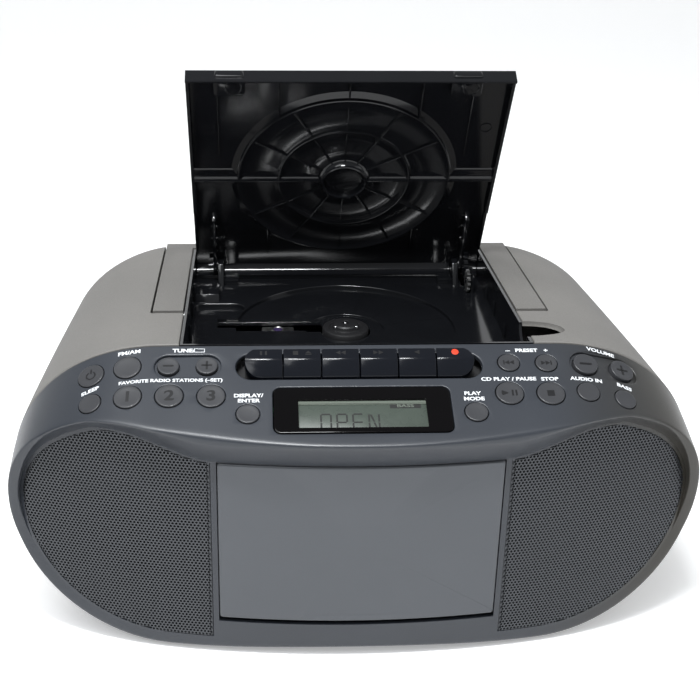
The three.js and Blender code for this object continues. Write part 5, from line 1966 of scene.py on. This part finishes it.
@dataclass
class Lid:
    """The disc lid, drawn closed and turned open about its hinge."""

    shop: Workshop
    form: Form = FORM
    bay: Bay = BAY
    side: float = 0.5
    thick: float = 2.6
    outer_ring: float = 59.5
    inner_ring: float = 37.0
    spokes: int = 12

    @property
    def underside(self) -> Matrix:
        """Frame on the underside at the hub: X across, Y to the front edge, Z out of the face."""
        f, b = self.form, self.bay
        tilt = math.atan(f.fall)
        s, c = math.sin(tilt), math.cos(tilt)
        frame = Matrix(((1, 0, 0), (0, -c, s), (0, -s, -c))).transposed().to_4x4()
        frame.translation = Vector((0, b.hub_y, f.casing_top(b.hub_y) - self.thick))
        return frame

    def opened(self, solid: Solid) -> Solid:
        """Turns a closed shape to the open rest place."""
        b = self.bay
        at = Matrix.Translation((0, b.pivot_y, b.pivot_z))
        return solid.moved(at @ Matrix.Rotation(math.radians(-b.open_angle), 4, "X") @ at.inverted())

    def plate(self) -> Solid:
        """The plate with its front lip, side skirts and rolled rear."""
        f, b = self.form, self.bay
        half = b.half - self.side
        front = b.front + 0.5
        top = f.casing_top
        tilt = math.degrees(math.atan(f.fall))
        start = math.degrees(math.asin(8 * math.cos(math.atan(f.fall)) / b.barrel)) - tilt
        inner = math.degrees(math.asin(5.4 / (b.barrel - self.thick))) - tilt
        centre = (b.pivot_y, b.pivot_z)
        profile = [(front, top(front) - 1), (front, top(front) - 8.6), (front + 0.4, top(front) - 9),
                   (front + 1.3, top(front) - 9), (front + 1.7, top(front) - 8.6), (front + 1.7, top(front) - 4.4),
                   (front + 2.3, top(front) - 3.1), (front + 3.6, top(front) - self.thick)]
        profile += arc(b.barrel - self.thick, inner, -20, 10, centre) + arc(b.barrel, -20, start, 14, centre)
        profile += [(front + 1, top(front))]
        whole = prism(profile, Axis.X, -half, half)
        skirt = prism([(front + 0.5, top(front) - 1), (front + 0.5, top(front) - 7), (b.pivot_y - 44, top(48) - 6),
                       (b.pivot_y - 42, top(48) - 4.6), (b.pivot_y - 10, top(82) - 4.6), (b.pivot_y - 10, top(82) - 1)],
                      Axis.X, half - 1.6, half)
        whole = whole + skirt + skirt.mirrored()
        slot = box(b.half - 17.35, b.half - 13.25, b.pivot_y - 1, b.pivot_y + 12, b.pivot_z - 12, b.pivot_z + 5)
        whole = whole - slot - slot.mirrored()
        return whole.rounded(0.35, 40, 2)

    def rings(self) -> Solid:
        """The turned pattern under the plate: two rings and the clamp's cup."""
        o, i = self.outer_ring, self.inner_ring
        profile = [(0, 0.9), (8.4, 0.9), (10.2, 1.5), (11.2, 3.6), (11.6, 4.9), (12.2, 5.2), (12.8, 4.8), (13.4, 2.6),
                   (15.2, 1.3), (22, 0.7), (30, 0.8), (i - 2, 1.5), (i - 0.8, 2.5), (i, 2.7), (i + 0.6, 2.5),
                   (i + 1.0, 1.2), (i + 4, 0.5), (48, 0.4), (o - 4, 1.0), (o - 1.2, 2.2), (o, 2.8), (o + 0.6, 2.6),
                   (o + 1.1, 1.0), (o + 3.6, 0.2), (o + 5, -0.3), (o + 5, -1.2), (0, -1.2)]
        return turned(profile, 160).moved(self.underside)

    def ribs(self) -> Solid:
        """Spokes, the long rib through the hub, and the ribs to the front and rear edges."""
        half = self.bay.half - self.side - 1.6
        o = self.outer_ring
        made = []
        for k in range(self.spokes):
            angle = 2 * math.pi * k / self.spokes + math.pi / 2
            if k % 6 == 3:
                continue
            rib = box(12.6, o, -0.45, 0.45, -1, 2.2).rounded(0.3)
            made.append(rib.moved(Matrix.Rotation(angle, 4, "Z")))
        long_profile = [(-1.4, -1), (-1.4, 2.7), (-0.9, 2.95), (-0.2, 2.8), (1.4, 1.7), (3.6, 0.8), (6.6, 0.2), (8, -1)]
        made += [prism(long_profile, Axis.X, 12.4, half), prism(long_profile, Axis.X, -half, -12.4)]
        edge = 73.0
        for x in (-37.5, 0.0, 38.5):
            made.append(box(x - 0.45, x + 0.45, math.sqrt(o * o - x * x) - 1, edge, -1, 2.0).rounded(0.3))
        for x in (-70.0, 66.0):
            made.append(box(x - 0.3, x + 0.3, 18, edge, -1, 0.7).rounded(0.2))
        for x in (-43.0, 43.0):
            made.append(box(x - 0.45, x + 0.45, -64, -math.sqrt(o * o - x * x) + 1, -1, 2.0).rounded(0.3))
        return gather(made).moved(self.underside)

    def marks(self) -> Solid:
        """Ejector pin marks and the two latch pads at the front edge."""
        spots = [(-75, 37), (-25, 47), (18, 47), (-25, 18), (14, 22), (33, 14), (-56, -26), (-25, -28), (66, -24), (76, 38),
                 (2, -47), (60, 60)]
        made = [band(3.3, 2.9, -0.2, 0.25, 0.1, 28).shifted(x, y) for x, y in spots]
        for x in (-63.5, 61.0):
            pad = prism(round_rect(8.2, 7.0, 2.2, 5, (x, 71.0)), Axis.Z, -1, 3.4)
            made.append(pad.rounded(0.5, 40, 2))
            made.append(band(4.6, 4.0, 3.3, 3.65, 0.15, 32).shifted(x + 2, 69.5))
        return gather(made).moved(self.underside)

    def arms(self) -> Solid:
        """Curved hinge arms with bosses, and the toothed sector on the right."""
        f, b = self.form, self.bay
        y, z = b.pivot_y, b.pivot_z
        x0 = b.half - 13.2
        top = f.casing_top(y - 42) - 1.5
        spine = [(-42, top - z), (-40, top - z - 6.5), (-35, 3.2), (-28, 0.2), (-20, -1.3), (-12, -1.2), (-7, -2.6),
                 (-3.4, -4.4), (0, -4.8), (3.4, -3.4), (4.8, 0), (4.6, 3), (0.5, 4.4), (-6, 3.4), (-14, 4.0), (-22, 5.2),
                 (-28, 7.6), (-31, top - z)]
        arm = prism([(y + a, z + c) for a, c in spine], Axis.X, x0, x0 + 2.2)
        collar = bar(Axis.X, 4.6, x0 - 0.3, x0 + 2.5, y, z)
        arm = arm.rounded(0.35) + collar - bar(Axis.X, 2.35, x0 - 3, x0 + 6, y, z)
        rungs = [box(x0 - 1.6, x0 + 3.2, y + a, y + a + 1.4, z + c, z + c + 1.2).rounded(0.3)
                 for a, c in ((-39, 7.5), (-33, 4.2), (-24, 2.4))]
        teeth, module = 27, 1.0
        radius = teeth * module / 2
        base = math.pi + math.radians(8)
        outline = []
        pitch = 2 * math.pi / teeth
        for k in range(math.ceil((base - 0.18) / pitch), math.floor((base + 1.35) / pitch) + 1):
            for share, r in ((-0.31, radius - 0.9), (-0.11, radius + 0.7), (0.11, radius + 0.7), (0.31, radius - 0.9)):
                t = (k + share) * pitch
                outline.append((y + r * math.cos(t), z + r * math.sin(t)))
        ends = [(y + (p[0] - y) * 0.3, z + (p[1] - z) * 0.3) for p in (outline[-1], outline[0])]
        fan = prism(outline + [ends[0], (y + 2, z + 2), (ends[1][0], ends[1][1] + 2)], Axis.X, x0 + 2.0, x0 + 4.4)
        fan = fan - bar(Axis.X, 2.35, x0, x0 + 6, y, z)
        both = gather([arm, *rungs])
        return gather([both, both.mirrored(), fan])

    def build(self) -> None:
        body = self.opened(self.plate())
        self.shop.dress(body, "lid_plate", "lid_gloss", "lid", "lid_black", ["cd_lid"], 30)
        for name, solid in (("rings", self.rings()), ("ribs", self.ribs()), ("marks", self.marks()), ("arms", self.arms())):
            self.shop.dress(self.opened(solid), f"lid_{name}", "lid_gloss", "lid", "lid_black", (), 40)


# ------------------------------------------------------------------ cassette door, back and base


@dataclass
class CassetteDoor:
    """The bowed door on its two ears, with the holder that carries the cassette."""

    shop: Workshop
    form: Form = FORM
    edge: float = 1.3

    def build(self) -> None:
        f = self.form
        front, rear = -0.6, 3.2
        rings = []
        middle = (DOOR_LOW + DOOR_TOP) / 2
        tall = (DOOR_TOP - DOOR_LOW) / 2

        def ring(inset: float, depth: float) -> Ring:
            """The door's outline, pulled in and set at a depth behind the face."""
            outline = round_rect(DOOR_HALF - inset, tall - inset, 1.4, 5, (0, middle))
            dense = []
            for (x0, z0), (x1, z1) in zip(outline, outline[1:] + outline[:1]):
                steps = max(1, round(abs(x1 - x0) / 4))
                dense += [(x0 + (x1 - x0) * k / steps, z0 + (z1 - z0) * k / steps) for k in range(steps)]
            return [Vector((x, f.face_y + f.bow(x) + depth, z)) for x, z in dense]

        rings.append(ring(0, rear))
        for k in range(6):
            t = math.radians(18 * k)
            rings.append(ring(self.edge * (1 - math.cos(t)), front + self.edge * (1 - math.sin(t))))
        outside = loft(rings)
        inset = loft([ring(4, front + 0.35), ring(4, front - 6)])
        ears = prism([(-98.95, 30.2), (-94.45, 30.2), (-94.45, 38.2), (-98.95, 38.2)], Axis.X, 61.6, 66.6)
        bridge = prism([(-104, 29), (-97, 30.2), (-97, 38.2), (-104, 39)], Axis.X, 61.6, 66.6)
        ear = (ears + bridge) - bar(Axis.X, 2.2, 58, 70, -98.454, 34.2)
        back = self.form.behind_front(front + 1.6, 20, 80)
        ear = ear & back
        whole = outside - inset + ear + ear.mirrored()
        self.shop.dress(whole, "cassette_door_skin", "door_satin", "door", "door_gunmetal", ["cassette_door"], 30)
        shell = box(-53.5, 53.5, -98.3, -83.3, 34.2, 102.6).rounded(0.6)
        shell = shell - box(-51.5, 51.5, -96.3, -80, 36.2, 110)
        for x in (-28.0, 0.0, 28.0):
            shell = shell - box(x - 8, x + 8, -100, -95, 60, 110)
        self.shop.dress(shell, "cassette_holder_skin", "inside_black", "door", "dark_plastic", ["cassette_holder"], 30)
        springs = [prism([(-95.9, 40), (-95.4, 40), (-93.4, 62), (-95.4, 84), (-95.9, 84)], Axis.X, x - 3, x + 3)
                   for x in (-34.0, 34.0)]
        self.shop.dress(gather(springs), "cassette_springs", "steel_sheet", "door", "steel")


@dataclass
class Back:
    """The battery door, the mains inlet and the feet."""

    shop: Workshop
    form: Form = FORM
    inlet_x: float = -118.0
    inlet_z: float = 34.0

    def battery_door(self) -> Solid:
        """The battery door with its finger ribs and latch."""
        y = self.form.rear_y
        plate = box(-78, 78, y - 2.4, y, 22, 84).rounded(0.5)
        pad = flared(lambda g: round_rect(20 + g, 7 + g, 5 + g, 8), -1.0, 0.6, 3)
        turn = Matrix.Translation((0, y, 74)) @ Matrix.Rotation(-math.pi / 2, 4, "X")
        plate = plate - pad.moved(turn)
        latch = box(-12, 12, y - 1.6, y + 1.2, 75, 81).rounded(0.6)
        ribs = [box(-16 + 4 * k, -14.6 + 4 * k, y - 1.6, y - 0.2, 68.5, 73).rounded(0.3) for k in range(9)]
        tabs = [box(x - 7, x + 7, y - 2.3, y - 0.4, 20.6, 22.6) for x in (-52.0, 0.0, 52.0)]
        return gather([plate + latch, *ribs, *tabs])

    def inlet(self) -> tuple[Solid, Solid]:
        """The figure-of-eight inlet, and its two pins."""
        y = self.form.rear_y - 8.8
        body = box(self.inlet_x - 7.2, self.inlet_x + 7.2, y - 4.9, y, 30.3, 37.7).rounded(0.4)
        eight = bar(Axis.Y, 2.9, y - 3.6, y + 2, self.inlet_x - 2.6, 34) + bar(
            Axis.Y, 2.9, y - 3.6, y + 2, self.inlet_x + 2.6, 34)
        pins = [bar(Axis.Y, 0.8, y - 3.9, y - 0.6, self.inlet_x + x, 34, 16) for x in (-2.6, 2.6)]
        return body - eight, gather(pins)

    def feet(self) -> None:
        """Rubber feet with a ribbed tread."""
        number = 0
        for x in (-100, 100):
            for y in (-62, 78):
                number += 1
                low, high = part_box(f"foot_{number}")
                centre = [(a + b) / 2 / MM for a, b in zip(low, high)]
                centre[1] -= self.shop.offset / MM
                radius = (high[0] - low[0]) / 2 / MM
                z0, z1 = low[2] / MM, high[2] / MM
                foot = turned([(0, z0), (radius - 0.8, z0), (radius, z0 + 0.7), (radius, z1), (0, z1)], 40)
                foot = foot.shifted(centre[0], centre[1])
                for k in (-2, -1, 0, 1, 2):
                    groove = box(centre[0] - 12, centre[0] + 12, centre[1] + 2.6 * k - 0.5, centre[1] + 2.6 * k + 0.5,
                                 z0 - 1, z0 + 0.5)
                    foot = foot - groove
                self.shop.dress(foot, f"foot_{number}_tread", "rubber_grip", "casing", "rubber", [f"foot_{number}"])

    def build(self) -> None:
        self.shop.dress(self.battery_door(), "battery_door_skin", "rear_grain", "battery_door", "rear_shell",
                        ["battery_door"], 30)
        body, pins = self.inlet()
        self.shop.dress(body, "inlet_body", "inside_black", "casing", "dark_plastic", ["ac_inlet"], 30)
        self.shop.dress(pins, "inlet_pins", "chrome_plate", "casing", "steel")
        self.feet()


CARRIED = {
    "antenna_base": "rear_grain", "antenna_mast": "chrome_plate", "antenna_middle": "chrome_plate",
    # The damper gear takes painted shade: dark grey in place of its white.
    "antenna_tip": "chrome_plate", "lid_damper_gear": "gear_grey", "supply_reel_hub": "reel_white",
    "takeup_reel_hub": "reel_white", "capstan": "chrome_plate", "tape_chassis": "steel_sheet",
    "tape_head": "chrome_plate", "power_transformer": "steel_sheet", "control_board": "board_lacquer",
    "cd_mechanism_plate": "inside_black", "lcd_module": "lcd_face", "display_window": "window_gloss",
    "speaker_left": "paper_cone", "speaker_right": "paper_cone",
}


@dataclass
class Studio:
    """A pale floor, soft lights, a white world and the camera."""

    shop: Workshop
    tint: tuple[float, float, float] = (0.965, 0.985, 1.0)
    ambient: float = 0.34

    def floor(self) -> None:
        """A wide floor that curves up behind."""
        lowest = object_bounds()[0][2] / MM - 0.05
        profile = [(-3000.0, lowest), (1500.0, lowest)]
        profile += [(1500 + 900 * math.sin(math.radians(a)), lowest + 900 * (1 - math.cos(math.radians(a))))
                    for a in range(6, 91, 6)]
        profile.append((2400.0, 3000.0))
        mesh = bpy.data.meshes.new("studio_floor")
        points = [(x * MM, y * MM, z * MM) for x in (-4000, 4000) for y, z in profile]
        n = len(profile)
        mesh.from_pydata(points, [], [(k, n + k, n + k + 1, k + 1) for k in range(n - 1)])
        for polygon in mesh.polygons:
            polygon.use_smooth = True
        item = bpy.data.objects.new("studio_floor", mesh)
        bpy.context.scene.collection.objects.link(item)
        material = bpy.data.materials.new("studio_white")
        material.use_nodes = True
        shader = material.node_tree.nodes["Principled BSDF"]
        shader.inputs["Base Color"].default_value = (0.93, 0.93, 0.93, 1)
        shader.inputs["Roughness"].default_value = 0.75
        shader.inputs["Emission Color"].default_value = (1, 1, 1, 1)
        shader.inputs["Emission Strength"].default_value = 0.3
        mesh.materials.append(material)
        item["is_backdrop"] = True

    def light(self, name: str, at: tuple[float, float, float], aim: tuple[float, float, float],
              size: tuple[float, float], watts: float) -> None:
        """Hangs one soft light.

        Args:
            name: Its name.
            at: Where it hangs, in metres.
            aim: What it looks at.
            size: Its width and height.
            watts: Its power.
        """
        data = bpy.data.lights.new(name, "AREA")
        data.shape = "RECTANGLE"
        data.size, data.size_y = size
        data.energy = watts
        data.color = self.tint
        item = bpy.data.objects.new(name, data)
        item.location = at
        item.rotation_euler = (Vector(at) - Vector(aim)).to_track_quat("Z", "Y").to_euler()
        bpy.context.scene.collection.objects.link(item)

    def camera(self) -> None:
        """The main view's camera."""
        data = bpy.data.cameras.new("main")
        data.sensor_width = 36
        data.lens = 63.64
        data.shift_x = 0.0615
        data.shift_y = -0.0285
        data.clip_end = 50
        item = bpy.data.objects.new("main", data)
        turn = (Matrix.Rotation(math.radians(-2.60), 4, "Z") @ Matrix.Rotation(math.radians(90 - 23.93), 4, "X")
                @ Matrix.Rotation(math.radians(0.68), 4, "Z"))
        item.matrix_world = Matrix.Translation((-0.05058, -0.61470 + self.shop.offset, 0.40938)) @ turn
        bpy.context.scene.collection.objects.link(item)
        bpy.context.scene.camera = item

    def build(self) -> None:
        """Builds the whole studio."""
        scene = bpy.context.scene
        scene.view_settings.view_transform = "Standard"
        scene.view_settings.look = "None"
        world = bpy.data.worlds.new("studio")
        world.use_nodes = True
        tree = world.node_tree
        background = tree.nodes["Background"]
        background.inputs["Color"].default_value = (0.94, 0.97, 1.0, 1)
        path = tree.nodes.new("ShaderNodeLightPath")
        level = tree.nodes.new("ShaderNodeMapRange")
        level.inputs["To Min"].default_value = self.ambient
        level.inputs["To Max"].default_value = 1.05
        tree.links.new(path.outputs["Is Camera Ray"], level.inputs["Value"])
        tree.links.new(level.outputs["Result"], background.inputs["Strength"])
        scene.world = world
        self.floor()
        self.light("key_light", (-0.7, -1.1, 1.7), (0, 0, 0.1), (1.2, 0.8), 12)
        self.light("top_light", (-0.45, -0.42, 1.9), (-0.05, 0, 0.12), (1.2, 0.7), 16)
        self.light("right_light", (1.6, -0.4, 0.9), (0, 0, 0.1), (0.7, 1.1), 3)
        self.light("flash", (-0.07, -0.36, 0.86), (0, 0.03, 0.16), (0.2, 0.07), 5)
        self.camera()


def main() -> None:
    """Builds the player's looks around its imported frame."""
    logging.basicConfig(level=logging.INFO, format="%(message)s")
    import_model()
    shop = Workshop(Finishes())
    for assembly in (FrontCabinet, Buttons, Keys, Display, RearCabinet, Handle, DiscBay, Lid, CassetteDoor, Back):
        log.info("building %s", assembly.__name__)
        assembly(shop).build()
    shop.carry(CARRIED)
    Studio(shop).build()


if __name__ == "__main__":
    main()
